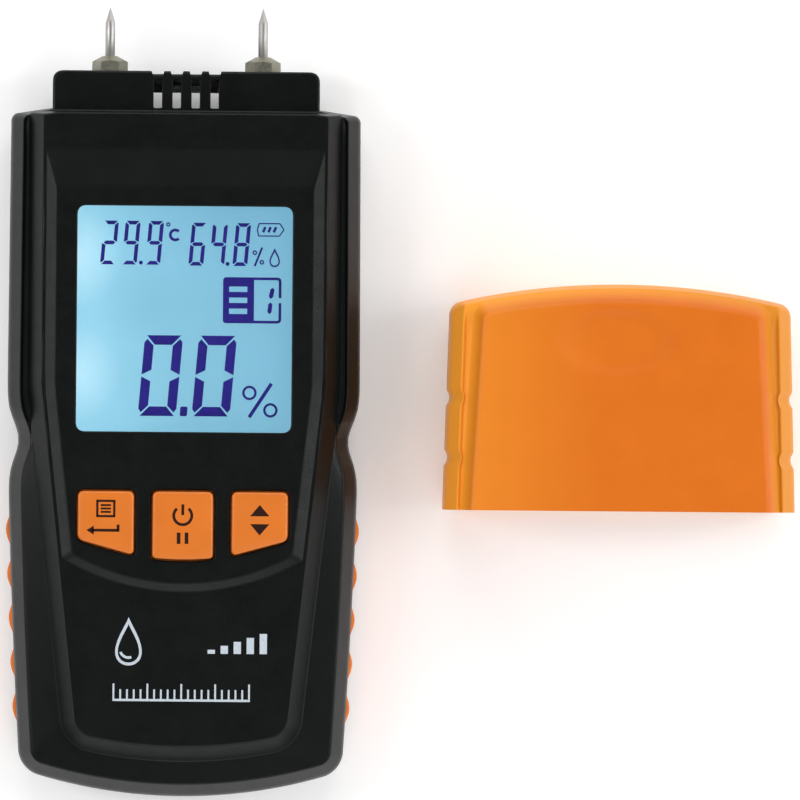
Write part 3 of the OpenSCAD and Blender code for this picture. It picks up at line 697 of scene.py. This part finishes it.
def key_outline(name, grow):
    r = KEY_ARCH_R + grow
    foot = lambda x: KEY_ARCH_Y - math.sqrt(r * r - x * x)
    top = KEY_TOP_Y + grow
    if name == "power":
        x = KEY_MID + grow
        bottom = [(x * (1 - i / 4), foot(x * (1 - i / 4))) for i in range(9)]
        corners = [(-x, top), (x, top), *bottom]
        return round_corners(corners, max(1.1 + grow, 0.2), 6)
    x0 = KEY_SIDE[0] - grow
    x1 = KEY_SIDE[1] + grow
    points = [(x0, top), (x1, top), (x1, foot(x1)), (x0, foot(x0))]
    if name == "mode":
        points = [(-x, y) for x, y in reversed(points)]
    return round_corners(points, max(1.1 + grow, 0.2), 6)


def hole_walls(skin, outline, z_top, z_end, round_mm=0.25):
    """The rounded mouth and wall of a hole. The face around it is filled to the ring returned."""
    rings = [at_height(outline(round_mm), z_top), at_height(outline(0), z_top), at_height(outline(0), z_end)]
    corner = rounded(rings, [0, round_mm, 0], 3)
    skin.loft(corner)
    return corner[0]


# ---- Probe head
def head_outline(inset):
    """Open outline of the head in plan, from inside the housing on the left round to the right."""
    w = HEAD_W - inset
    top = HEAD_TOP_Y - inset
    r = HEAD_R
    start_y = 57
    points = [(-w, start_y), (-w, top - r)]
    points += bend((-w, top - r), (-w, top), (-w + r, top), 8)
    for i in range(4):
        x = (i - 1.5) * VENT_PITCH
        half = 1.1 - inset * 0.3
        foot = HEAD_TOP_Y - 0.55 - inset
        edge = [(x - half, top), (x - half, foot), (x + half, foot), (x + half, top)]
        points += bend((x - half - 0.15, top), edge[0], (x - half, top - 0.15), 3)
        points += bend((x - half, foot + 0.15), edge[1], (x - half + 0.15, foot), 3)
        points += bend((x + half - 0.15, foot), edge[2], (x + half, foot + 0.15), 3)
        points += bend((x + half, top - 0.15), edge[3], (x + half + 0.15, top), 3)
    points += bend((w - r, top), (w, top), (w, top - r), 8)
    points.append((w, start_y))
    return points


def vent_outline(x, grow):
    a = x - VENT_W / 2 - grow
    b = x + VENT_W / 2 + grow
    return round_corners([(a, VENT_Y[0] - grow), (b, VENT_Y[0] - grow), (b, VENT_Y[1] + grow),
                          (a, VENT_Y[1] + grow)], 0.3, 3)


def head_half(skin, z_outer):
    """One shell's half of the head, from the parting plane to z_outer, with its four air slots."""
    way = 1 if z_outer > SPLIT_Z else -1
    rings = [
        at_height(head_outline(0.15), SPLIT_Z),
        at_height(head_outline(0), SPLIT_Z + way * 0.15),
        at_height(head_outline(0), z_outer),
        at_height(head_outline(0.6), z_outer),
    ]
    rings = rounded(rings, [0, 0, 0.6, 0], 5)
    skin.loft(rings, closed=False)
    mouths = []
    for i in range(4):
        x = (i - 1.5) * VENT_PITCH
        mouths.append(hole_walls(skin, lambda g: vent_outline(x, g), z_outer, z_outer - way * 2, 0.15))
    skin.fill(rings[-1], mouths)


def pin_bosses(skin):
    """Low round bosses on the end of the head, where the pins come out."""
    for x in (-PIN_X, PIN_X):
        ring = lambda r, y: [Vector((x + r * math.cos(a), y, PIN_Z + r * math.sin(a)))
                             for a in [math.tau * i / 48 for i in range(48)]]
        rings = [ring(3.9, HEAD_TOP_Y - 0.3), ring(3.9, HEAD_TOP_Y + 0.12), ring(1.7, HEAD_TOP_Y + 0.12),
                 ring(1.7, HEAD_TOP_Y - 0.6)]
        skin.loft(rounded(rings, [0, 0.15, 0.1, 0], 3))


def sensor_board():
    """The little board behind the air slots, let into the end wall."""
    low, high = box_mm("sensor_board")
    skin = Skin()
    skin.block((low.x, high.x), (low.y, high.y + 0.6), (low.z, high.z), 0.1)
    skin.finish("sensor_board_plate", sensor_board_painted_lighter, "meter", ["sensor_board"])


# ---- Front housing
def upper(y):
    """1 along the side rails, 0 along the plain lower flanks, with the change at the waist."""
    return smooth(3.6, 7.6, y)


def at_end(y):
    """1 on the short end wall by the head, where the rails stop."""
    return smooth(59.2, 60.0, y)


def front_housing():
    skin = Skin()
    rail = lambda y: lerp(18.8, 20.6, upper(y))
    crest = lambda y: lerp(lerp(23.7, 24.7, upper(y)), 24.3, at_end(y))
    groove = lambda y: lerp(lerp(23.8, 23.9, upper(y)), 24.4, at_end(y))
    foot = lambda y: lerp(lerp(24.4, 23.9, upper(y)), 24.5, at_end(y))
    rings = [
        at_height(shell(0.15, 0.15), SPLIT_Z),
        at_height(shell(0), SPLIT_Z + 0.15),
        at_height(shell(0), rail),
        at_height(shell(2.25, 0.3), crest),
        at_height(shell(2.75, 0.35), groove),
        at_height(face(FACE_BEVEL), foot),
        at_height(face(0, FACE_TOP_Y - 0.25), FACE_Z),
        at_height(recess(0, RECESS_TOP_Y), FACE_Z),
        at_height(recess(1.85, RECESS_FLOOR_Y), RECESS_Z),
        at_height(recess(2.2, RECESS_FLOOR_Y - 1), RECESS_Z),
    ]
    rings = rounded(rings, [0, 0, 1.3, 0.3, 0.15, 0.25, 0.4, 0.45, 0.5, 0], 5)
    skin.loft(rings)
    mouths = [hole_walls(skin, window_outline, RECESS_Z, ROOF_Z)]
    for name in KEY_BOX:
        mouths.append(hole_walls(skin, lambda g: key_outline(name, KEY_GAP + g), RECESS_Z, ROOF_Z - 1.4, 0.3))
    skin.fill(rings[-1], mouths)
    head_half(skin, HEAD_Z[1])
    pin_bosses(skin)
    skin.finish("front_shell", black_plastic, "meter", ["front_housing"])


# ---- Rear housing
def grip_pocket_width(y):
    inside = GRIP_Y[1] < y < GRIP_Y[0]
    return shell_width(y) - (0.95 if inside else 0)


def rear_housing():
    skin = Skin()
    top = SPLIT_Z - 0.15
    rings = [
        at_height(shell(0.15, 0.15), SPLIT_Z),
        at_height(shell(0), top),
        at_height(shell(0), GRIP_Z[1] + 0.06),
        at_height(shell(0, 0, grip_pocket_width), GRIP_Z[1] + 0.04),
        at_height(shell(0, 0, grip_pocket_width), GRIP_Z[0] - 0.04),
        at_height(shell(0), GRIP_Z[0] - 0.06),
        at_height(shell(0), BACK_CHAMFER),
        at_height(shell(BACK_CHAMFER, BACK_CHAMFER), 0),
        at_height(shell(BACK_CHAMFER + 1, BACK_CHAMFER + 1), 0),
    ]
    rings = rounded(rings, [0, 0, 0, 0, 0, 0, 1.6, 1.4, 0], 6)
    skin.loft(rings)
    skin.fill(rings[0])
    skin.fill(rings[-1])
    obj = skin.finish("rear_shell", black_plastic, "meter", ["rear_housing"])
    cut(obj, back_cuts())
    head = Skin()
    head_half(head, HEAD_Z[0])
    head.finish("rear_head", black_plastic, "meter")


def back_cuts():
    """Solids cut from the back: door opening, latch notch, battery bay, finger scoop and screw bores."""
    opening, latch, bay, scoop, bores = [Skin() for _ in range(5)]
    opening.block((-BAY_X, BAY_X), (door_low.y - 0.15, LATCH_Y - 1.4), (-1, 2))
    latch.block((-6, 6), (LATCH_Y - 3, LATCH_Y + 0.3), (-1, 2.1), 0.3)
    bay.block((-BAY_X, BAY_X), BAY_Y, (1, BAY_ROOF_Z), 0.4)
    rod(scoop, (0, LATCH_Y - 1.3), [(4.3, -0.5), (4, 0.3), (4, 0.7), (3.7, 1)])
    for at in SCREW_AT:
        rod(bores, at, [(3.3, -0.5), (3.1, 0), (2.9, 0.3), (2.9, 5)])
    return [opening, latch, bay, scoop, bores]


def rod(skin, at, profile):
    """A closed turned solid about a Z axis, from its radius and height at each step."""
    rings = [at_height(arc(at, r, 0, 352.5, 47), z) for r, z in profile]
    skin.loft(rings)
    skin.fill(rings[0])
    skin.fill(rings[-1])


def cut(obj, skins):
    """Take solids away from an object for good."""
    obj.modifiers.clear()
    tools = []
    for skin in skins:
        bm = skin.mesh
        bmesh.ops.remove_doubles(bm, verts=bm.verts, dist=2e-6)
        bmesh.ops.recalc_face_normals(bm, faces=bm.faces)
        mesh = bpy.data.meshes.new("cutter")
        bm.to_mesh(mesh)
        bm.free()
        tool = bpy.data.objects.new("cutter", mesh)
        bpy.context.scene.collection.objects.link(tool)
        step = obj.modifiers.new("cut", "BOOLEAN")
        step.operation = "DIFFERENCE"
        step.solver = "EXACT"
        step.object = tool
        tools.append(tool)
    ready = obj.evaluated_get(bpy.context.evaluated_depsgraph_get())
    made = bpy.data.meshes.new_from_object(ready)
    obj.modifiers.clear()
    made.shade_smooth()
    made.set_sharp_from_angle(angle=math.radians(38))
    obj.data = made
    for tool in tools:
        bpy.data.objects.remove(tool)
    even = obj.modifiers.new("even_normals", "WEIGHTED_NORMAL")
    even.keep_sharp = True


# ---- Side grips
def grip_wave(y):
    """How far a grip's ribbed side stands out of the housing's."""
    pitch = 7.87
    turns = (y + 13.8) / pitch
    if turns > 0.5 or turns < -4.5:
        return -0.35
    return -0.35 + 1.05 * ((1 + math.cos(math.tau * turns)) / 2) ** 0.8


def side_grip(side):
    skin = Skin()
    rings = []
    count = 160
    for i in range(count + 1):
        y = lerp(GRIP_Y[0], GRIP_Y[1], i / count)
        out = shell_width(y) + grip_wave(y)
        back = shell_width(y) - 0.8
        ends = [(back, GRIP_Z[0]), (out, GRIP_Z[0]), (out, GRIP_Z[1]), (back, GRIP_Z[1])]
        r = 0.3 + 0.5 * max(0, grip_wave(y))
        rings.append([Vector((side * x, y, z)) for x, z in round_corners(ends, r, 5)])
    skin.loft(rings)
    skin.fill(rings[0], axes=(0, 2))
    skin.fill(rings[-1], axes=(0, 2))
    name = "left_grip" if side < 0 else "right_grip"
    skin.finish(name + "_ribs", grip_plastic, "meter", [name], 60)


# ---- Keys and their icons
def bar(a, b, width):
    """A straight stroke from a to b."""
    a = Vector(a)
    b = Vector(b)
    along = (b - a).normalized()
    side = Vector((-along.y, along.x)) * width / 2
    return [tuple(a + side), tuple(b + side), tuple(b - side), tuple(a - side)]


def curved_bar(centre, r, a0, a1, width, n=28):
    return arc(centre, r + width / 2, a0, a1, n) + arc(centre, r - width / 2, a1, a0, n)


def frame_bars(x0, y0, x1, y1, width):
    h = width / 2
    return [bar((x0 - h, y0), (x1 + h, y0), width), bar((x0 - h, y1), (x1 + h, y1), width),
            bar((x0, y0), (x0, y1), width), bar((x1, y0), (x1, y1), width)]


def print_on(name, shapes, z, material, body):
    """Flat marks at z. A shape is an outline, or an outline with a list of the holes in it."""
    skin = Skin()
    for shape in shapes:
        outline, holes = shape if isinstance(shape, tuple) else (shape, [])
        skin.fill(at_height(outline, z), [at_height(hole, z) for hole in holes])
    skin.finish(name, material, body)


def key_icons():
    mode_x = -(KEY_SIDE[0] + KEY_SIDE[1]) / 2
    set_x = -mode_x
    list_mark = frame_bars(mode_x - 1.5, -11.1, mode_x + 1.5, -8.4, 0.4)
    list_mark += [bar((mode_x - 0.9, y), (mode_x + 0.9, y), 0.35) for y in (-9.15, -9.75, -10.35)]
    list_mark += [bar((mode_x - 2.4, -13.6), (mode_x + 2.2, -13.6), 0.5), bar((mode_x + 2.2, -13.85),
                  (mode_x + 2.2, -12.6), 0.5),
                  [(mode_x - 3.4, -13.6), (mode_x - 2.1, -12.8), (mode_x - 2.1, -14.4)]]
    power_mark = [curved_bar((0, -10.9), 1.6, 130, 410, 0.5), bar((0, -8.9), (0, -10.8), 0.5)]
    power_mark += [bar((x, -13.9), (x, -15.9), 0.65) for x in (-0.7, 0.7)]
    set_mark = [[(set_x - 1.7, -10.9), (set_x, -8.9), (set_x + 1.7, -10.9)],
                [(set_x - 1.7, -12.3), (set_x, -14.3), (set_x + 1.7, -12.3)]]
    return {"mode": list_mark, "power": power_mark, "set": set_mark}


def key(name):
    node = name + "_button"
    low, _ = KEY_BOX[name]
    top = KEY_TOP_Z - 0.04
    skin = Skin()
    rings = [
        at_height(key_outline(name, 0.75), low.z),
        at_height(key_outline(name, 0.75), ROOF_Z - 0.2),
        at_height(key_outline(name, 0), ROOF_Z - 0.2),
        at_height(key_outline(name, 0), top - 0.1),
        at_height(key_outline(name, -1.4), top),
    ]
    rings = rounded(rings, [0, 0.1, 0, 0.5, 0], 6)
    skin.loft(rings)
    skin.fill(rings[0])
    skin.fill(rings[-1])
    skin.finish(name + "_key_cap", key_plastic, name + "_key", [node])
    print_on(name + "_key_icon", key_icons()[name], KEY_TOP_Z - 0.025, key_ink, name + "_key")


def drop_curve(centre, scale):
    """A drop: round below and pointed above."""
    turns = [math.tau * i / 64 for i in range(64)]
    return [(centre[0] + scale * 0.78 * math.sin(t) * math.sin(t / 2) ** 1.5, centre[1] + scale * math.cos(t))
            for t in turns]


def drop_mark(centre, scale, line=0.2):
    """The outline of a drop, as a shape with one hole."""
    inside = (centre[0], centre[1] - 0.4 * line * scale)
    return drop_curve(centre, scale), [drop_curve(inside, scale * (1 - line))]


# ---- Display contents
def segment(a, b, t):
    """A short display stroke with pointed ends."""
    a = Vector(a)
    b = Vector(b)
    along = (b - a).normalized()
    side = Vector((-along.y, along.x)) * t / 2
    step = along * t / 2
    return [tuple(p) for p in (a, a + step + side, b - step + side, b, b - step - side, a + step - side)]


LIT = {"0": "abcdef", "2": "abged", "4": "fgbc", "6": "afgedc", "8": "abcdefg", "9": "abcdfg"}


def digit(symbol, x, y, w, h, t, gap, lean=0.085):
    """A seven-segment figure with mitred corners in the box from (x, y), leaning to the right."""
    mid = h / 2
    cap = [(2 * gap, h), (w - 2 * gap, h), (w - t - gap, h - t), (t + gap, h - t)]
    post = [(0, mid + gap), (0, h - 0.75 * t), (0.28 * t, h - 0.28 * t - gap), (t, h - t - gap),
            (t, mid + t / 2 + gap)]
    flip_x = lambda shape: [(w - px, py) for px, py in shape]
    flip_y = lambda shape: [(px, h - py) for px, py in shape]
    bridge = [(0.3 * t + gap, mid), (t, mid + t / 2), (w - t, mid + t / 2), (w - 0.3 * t - gap, mid),
              (w - t, mid - t / 2), (t, mid - t / 2)]
    parts = {"a": cap, "d": flip_y(cap), "f": post, "b": flip_x(post), "e": flip_y(post),
             "c": flip_y(flip_x(post)), "g": bridge}
    return [[(x + px + py * lean, y + py) for px, py in parts[k]] for k in LIT[symbol]]


def percent(x, y, w, h, ring_r, ring_t, slash_t):
    """A percent sign: a slash between two small rings."""
    rise = 0.28 * h
    return [curved_bar((x + ring_r, y + h - rise), ring_r - ring_t / 2, 0, 360, ring_t),
            curved_bar((x + w - ring_r, y + rise * 0.75), ring_r - ring_t / 2, 0, 360, ring_t),
            bar((x + 0.2 * w, y), (x + 0.82 * w, y + h), slash_t)]


def display_contents():
    z = panel_high.z + 0.03
    shapes = []
    for symbol, x in zip("299", (-15.05, -11.2, -7.05)):
        shapes += digit(symbol, x, 33.5, 2.65, 7.75, 0.66, 0.1)
    shapes.append(arc((-7.8, 33.85), 0.36, 0, 350, 12))
    for symbol, x in zip("648", (0.6, 4.3, 8.4)):
        shapes += digit(symbol, x, 33.4, 2.65, 7.6, 0.66, 0.1)
    shapes.append(arc((7.55, 33.75), 0.36, 0, 350, 12))
    shapes.append(curved_bar((-3.0, 40.65), 0.26, 0, 360, 0.24))
    shapes.append(curved_bar((-1.75, 38.8), 0.88, 45, 315, 0.5))
    shapes += percent(11.95, 33.4, 2.1, 3.3, 0.42, 0.24, 0.36)
    shapes.append(drop_mark((15.9, 34.95), 1.7, 0.28))
    shapes += battery_mark()
    for x in (-8.15, 1.4):
        shapes += digit("0", x, 6.7, 6.75, 14.3, 1.68, 0.17)
    shapes.append(round_corners([(-0.7, 6.7), (0.6, 6.7), (0.7, 8.4), (-0.6, 8.4)], 0.3, 3))
    shapes += percent(10.35, 6.6, 6.3, 6.0, 1.28, 0.42, 0.62)
    shapes += mode_box()
    print_on("lcd_segments", shapes, z, lcd_ink, "meter")


def battery_mark():
    corners = [(13.0, 38.75), (16.7, 38.75), (17.5, 39.85), (16.8, 40.95), (13.1, 40.95), (12.8, 39.85)]
    shapes = [bar(a, b, 0.22) for a, b in zip(corners, corners[1:] + corners[:1])]
    shapes += [bar((x, 39.4), (x + 0.4, 40.35), 0.46) for x in (13.8, 14.75, 15.7)]
    return shapes


def mode_box():
    """A box whose left half is filled round three list bars, with a figure on the right."""
    left, right, low, high = 6.8, 17.15, 23.25, 31.4
    middle = 12.3
    line = 0.48
    filled = bend((left, high - 0.6), (left, high), (left + 0.6, high), 4)
    filled += [(middle, high), (middle, low)]
    filled += bend((left + 0.6, low), (left, low), (left, low + 0.6), 4)
    rows = [[(7.9, y), (11.1, y), (11.1, y + 0.95), (7.9, y + 0.95)] for y in (24.9, 26.85, 28.8)]
    shapes = [(filled, rows)]
    for edge, way in ((high, -1), (low, 1)):
        end = (high + low) / 2 - way * 0.45
        outer = bend((right - 0.8, edge), (right, edge), (right, edge + way * 0.8), 4)
        inside = bend((right - line, edge + way * 0.8), (right - line, edge + way * line),
                      (right - 0.8, edge + way * line), 4)
        shapes.append([(middle, edge), *outer, (right, end), (right - line, end), *inside,
                       (middle, edge + way * line)])
    shapes += [segment((15.2, 27.6), (15.65, 29.6), 0.75), segment((15.0, 24.9), (15.25, 27.0), 0.75)]
    return shapes


# ---- Printing on the face
def face_printing():
    """A drop mark, five level bars and a fine scale, low on the face."""
    skin = Skin()
    z = FACE_Z + 0.015
    at = Vector((-9.4, -33.2))
    outer, inner = drop_mark(at, 4.3)
    skin.fill(at_height(outer, z), [at_height(inner[0], z)])
    skin.plate(curved_bar((at.x, at.y - 1.4), 1.5, 200, 290, 0.45), z)
    for i in range(5):
        x = 4.6 + 2.3 * i
        skin.plate([(x, -35.3), (x + 1.3, -35.3), (x + 1.3, -34.6 + 0.72 * i), (x, -34.6 + 0.72 * i)], z)
    for i in range(21):
        x = -12 + 1.2 * i
        high = -40.7 if i % 5 == 0 else -41.7
        skin.plate([(x - 0.16, -43.4), (x + 0.16, -43.4), (x + 0.16, high), (x - 0.16, high)], z)
    skin.plate([(-12.16, -43.8), (12.16, -43.8), (12.16, -43.4), (-12.16, -43.4)], z)
    skin.finish("face_printing", pale_ink, "meter")


# ---- Cap
def cap_notch(y):
    """Depth of the round finger notches in the cap's sides, y from the rim."""
    deep = 0
    short = CAP_NOTCH_R - CAP_NOTCH_DEPTH
    for centre in CAP_NOTCH_Y:
        away = abs(y - centre)
        if math.hypot(away, short) < CAP_NOTCH_R:
            deep = math.sqrt(CAP_NOTCH_R ** 2 - away * away) - short
    return deep


def cap_outline(half_w, inset, top_inset, rim=0.0, notched=True, corner=2.6):
    """Open outline of the cap in plan, from the left end of its rim round to the right end."""
    w0 = half_w[0] - inset
    w1 = half_w[1] - inset
    r = CAP_ARCH_R - top_inset
    arch_y = CAP_LEN + 0.2 - CAP_ARCH_R
    corner_r = max(corner - inset, 0.5)
    centre_x = w1 - corner_r
    centre_y = arch_y + math.sqrt((r - corner_r) ** 2 - centre_x ** 2)
    turn = math.degrees(math.acos(centre_x / (r - corner_r)))
    half = arc((0, arch_y), r, 90, turn, 24)
    half += arc((centre_x, centre_y), corner_r, turn, 0, 10)[1:]
    for i in range(1, 91):
        u = i / 90
        y = lerp(centre_y, rim, u)
        half.append((lerp(w1, w0, u) - (cap_notch(y) if notched else 0), y))
    left = [(-x, y) for x, y in reversed(half[1:])]
    return [(x + CAP_X, y + CAP_RIM_Y) for x, y in left + half]


def cap_dish(x, y):
    """The shallow thumb scoop under the top edge of the cap's panel."""
    dx = (x - CAP_X + 0.8) / 12
    dy = (y - CAP_RIM_Y - 30) / 7
    return -0.7 * (1 - smooth(0.5, 1, math.hypot(dx, dy)))


def protective_cap():
    skin = Skin()
    low = cap_low.z
    top = cap_high.z
    arch = lambda y: smooth(33, 36.5, y - CAP_RIM_Y)
    groove = lambda y: top - lerp(3.8, 3.1, arch(y))
    foot = lambda y: top - lerp(3.6, 3.0, arch(y))
    outer = [
        at_height(cap_outline(CAP_HALF, 4.2, 4.2, 0, False), low),
        at_height(cap_outline(CAP_HALF, 3, 3, 0, False), low),
        at_height(cap_outline(CAP_HALF, 0, 0), low + 3),
        at_height(cap_outline(CAP_HALF, 0, 0), top - 7.2),
        at_height(cap_outline(CAP_HALF, 2.3, 0.7), top - 3.2),
        at_height(cap_outline(CAP_HALF, 2.8, 0.9, 0, False), groove),
        at_height(cap_outline(CAP_PANEL, -1.9, 1.0, 0, False, 1.2), foot),
        at_height(cap_outline(CAP_PANEL, 0, 3.1, 0, False, 1.2), top),
        at_height(cap_outline(CAP_PANEL, 1.2, 4.3, 0, False, 1.2), top),
    ]
    outer = rounded(outer, [0, 1.2, 1.4, 1.5, 0.5, 0.2, 0.3, 0.7, 0], 5)
    skin.loft(outer, closed=False)
    skin.fill(outer[0])
    dimple = []
    for i in range(49):
        for j in range(25):
            x = CAP_X + lerp(-15, 14, i / 48)
            y = CAP_RIM_Y + lerp(21, 35, j / 24)
            dimple.append(Vector((x, y, top + cap_dish(x, y))))
    skin.fill(outer[-1], inner_points=dimple)
    inner = [
        at_height(cap_outline(CAP_HALF, 4.2, 4.2, 0, False), low + CAP_WALL),
        at_height(cap_outline(CAP_HALF, 3.6, 3.6, 0, False), low + CAP_WALL),
        at_height(cap_outline(CAP_HALF, CAP_WALL, CAP_WALL, 0, False), low + 4.2),
        at_height(cap_outline(CAP_HALF, CAP_WALL, CAP_WALL, 0, False), top - 7.8),
        at_height(cap_outline(CAP_HALF, 4.6, 3.5, 0, False), top - 4.6),
        at_height(cap_outline(CAP_PANEL, 0.7, 4.4, 0, False), top - CAP_WALL),
        at_height(cap_outline(CAP_PANEL, 1.7, 5.4, 0, False), top - CAP_WALL),
    ]
    inner = rounded(inner, [0, 0.5, 0.8, 0.8, 0.4, 0.6, 0], 4)
    skin.loft(inner, closed=False)
    skin.fill(inner[0])
    skin.fill(inner[-1])
    rim = lambda rings: [r[-1] for r in rings] + [r[0] for r in reversed(rings)]
    skin.fill(rim(outer), [rim(inner)], axes=(0, 2))
    cap_ribs(skin, low, top)
    skin.finish("cap_shell", cap_plastic, "cap", ["protective_cap"])


def cap_ribs(skin, low, top):
    """Ribs inside the rim that grip the probe head."""
    y = (CAP_RIM_Y + 0.5, CAP_RIM_Y + 7)
    for side in (-1, 1):
        for z in (low + 8, low + 18):
            x = sorted((CAP_X + side * (HEAD_W + 0.25), CAP_X + side * 29.6))
            skin.block(x, y, (z - 0.6, z + 0.6), 0.2)
    for x in (-16, 0, 16):
        skin.block((CAP_X + x - 0.6, CAP_X + x + 0.6), y, (HEAD_Z[1] + 0.25, top - 1.7), 0.2)
        skin.block((CAP_X + x - 0.6, CAP_X + x + 0.6), y, (low + 1.6, HEAD_Z[0] - 0.25), 0.2)


# ---- Studio
def floor():
    s = Shade("floor_white")
    s.link(s.blend(s.spread(s.noise(60), 0, 1), rgba(0.9, 0.9, 0.9), rgba(0.93, 0.93, 0.93)), "Base Color")
    s.link(s.spread(s.noise(20), 0.75, 0.85), "Roughness")
    s.set(Specular_IOR_Level=0.1, Emission_Color=rgba(1, 1, 1), Emission_Strength=0.16)
    mesh = bpy.data.meshes.new("floor")
    size = 3
    z = -0.0003
    corners = [(-size, -size, z), (size, -size, z), (size, size, z), (-size, size, z)]
    mesh.from_pydata(corners, [], [(0, 1, 2, 3)])
    mesh.materials.append(s.material)
    obj = bpy.data.objects.new("floor", mesh)
    bpy.context.scene.collection.objects.link(obj)


def area_light(name, place, size, power, target):
    data = bpy.data.lights.new(name, "AREA")
    data.shape = "RECTANGLE"
    data.size, data.size_y = size
    data.energy = power
    obj = bpy.data.objects.new(name, data)
    obj.location = place
    obj.rotation_euler = (Vector(target) - Vector(place)).to_track_quat("-Z", "Y").to_euler()
    bpy.context.scene.collection.objects.link(obj)


def studio():
    """A bright surround that darkens overhead, four soft boxes and a small card."""
    world = bpy.data.worlds.new("studio")
    world.use_nodes = True
    tree = world.node_tree
    back = tree.nodes["Background"]
    coords = tree.nodes.new("ShaderNodeTexCoord")
    split = tree.nodes.new("ShaderNodeSeparateXYZ")
    tree.links.new(coords.outputs["Generated"], split.inputs[0])
    both = tree.nodes.new("ShaderNodeMath")
    both.operation = "MULTIPLY"
    tree.links.new(map_range(tree, split.outputs[2], 0.5, 0.95, 1.3, 0.05), both.inputs[0])
    tree.links.new(map_range(tree, split.outputs[0], -1, 1, 0.55, 1.15), both.inputs[1])
    tree.links.new(both.outputs[0], back.inputs["Strength"])
    back.inputs["Color"].default_value = rgba(1, 1, 1)
    bpy.context.scene.world = world
    middle = (0.035, 0.01, 0.01)
    area_light("left_softbox", (-0.75, 0.15, 0.85), (0.25, 0.9), 4.0, middle)
    area_light("right_softbox", (0.9, 0.1, 0.75), (0.35, 0.9), 3.5, middle)
    area_light("top_softbox", (0.03, 0.9, 0.7), (0.9, 0.35), 3.5, middle)
    area_light("low_softbox", (0.03, -0.9, 0.7), (0.9, 0.35), 2.5, middle)
    area_light("overhead_card", (0.14, -0.28, 1.15), (0.4, 0.12), 0.45, middle)
    bpy.context.scene.view_settings.view_transform = "Standard"


def camera():
    """Nearly straight down and far off, leaning a little to the meter's left."""
    data = bpy.data.cameras.new("photo_camera")
    distance = 2.8
    view_width = 0.142
    roll = math.radians(0.5)
    target = Vector((0.0384, 0.0099, 0.02))
    place = target + Vector((-0.045, 0, distance))
    back = (place - target).normalized()
    right = Vector((-math.sin(roll), math.cos(roll), 0)).cross(back).normalized()
    up = back.cross(right)
    data.sensor_width = 36
    data.lens = 36 * distance / view_width
    obj = bpy.data.objects.new("photo_camera", data)
    turn = Matrix((right, up, back)).transposed().to_4x4()
    obj.matrix_world = Matrix.Translation(place) @ turn
    bpy.context.scene.collection.objects.link(obj)
    bpy.context.scene.camera = obj


# ---- The scene
dress_cad_nodes()
front_housing()
rear_housing()
side_grip(-1)
side_grip(1)
for key_name in KEY_BOX:
    key(key_name)
sensor_board()
display_contents()
face_printing()
protective_cap()
floor()
studio()
camera()
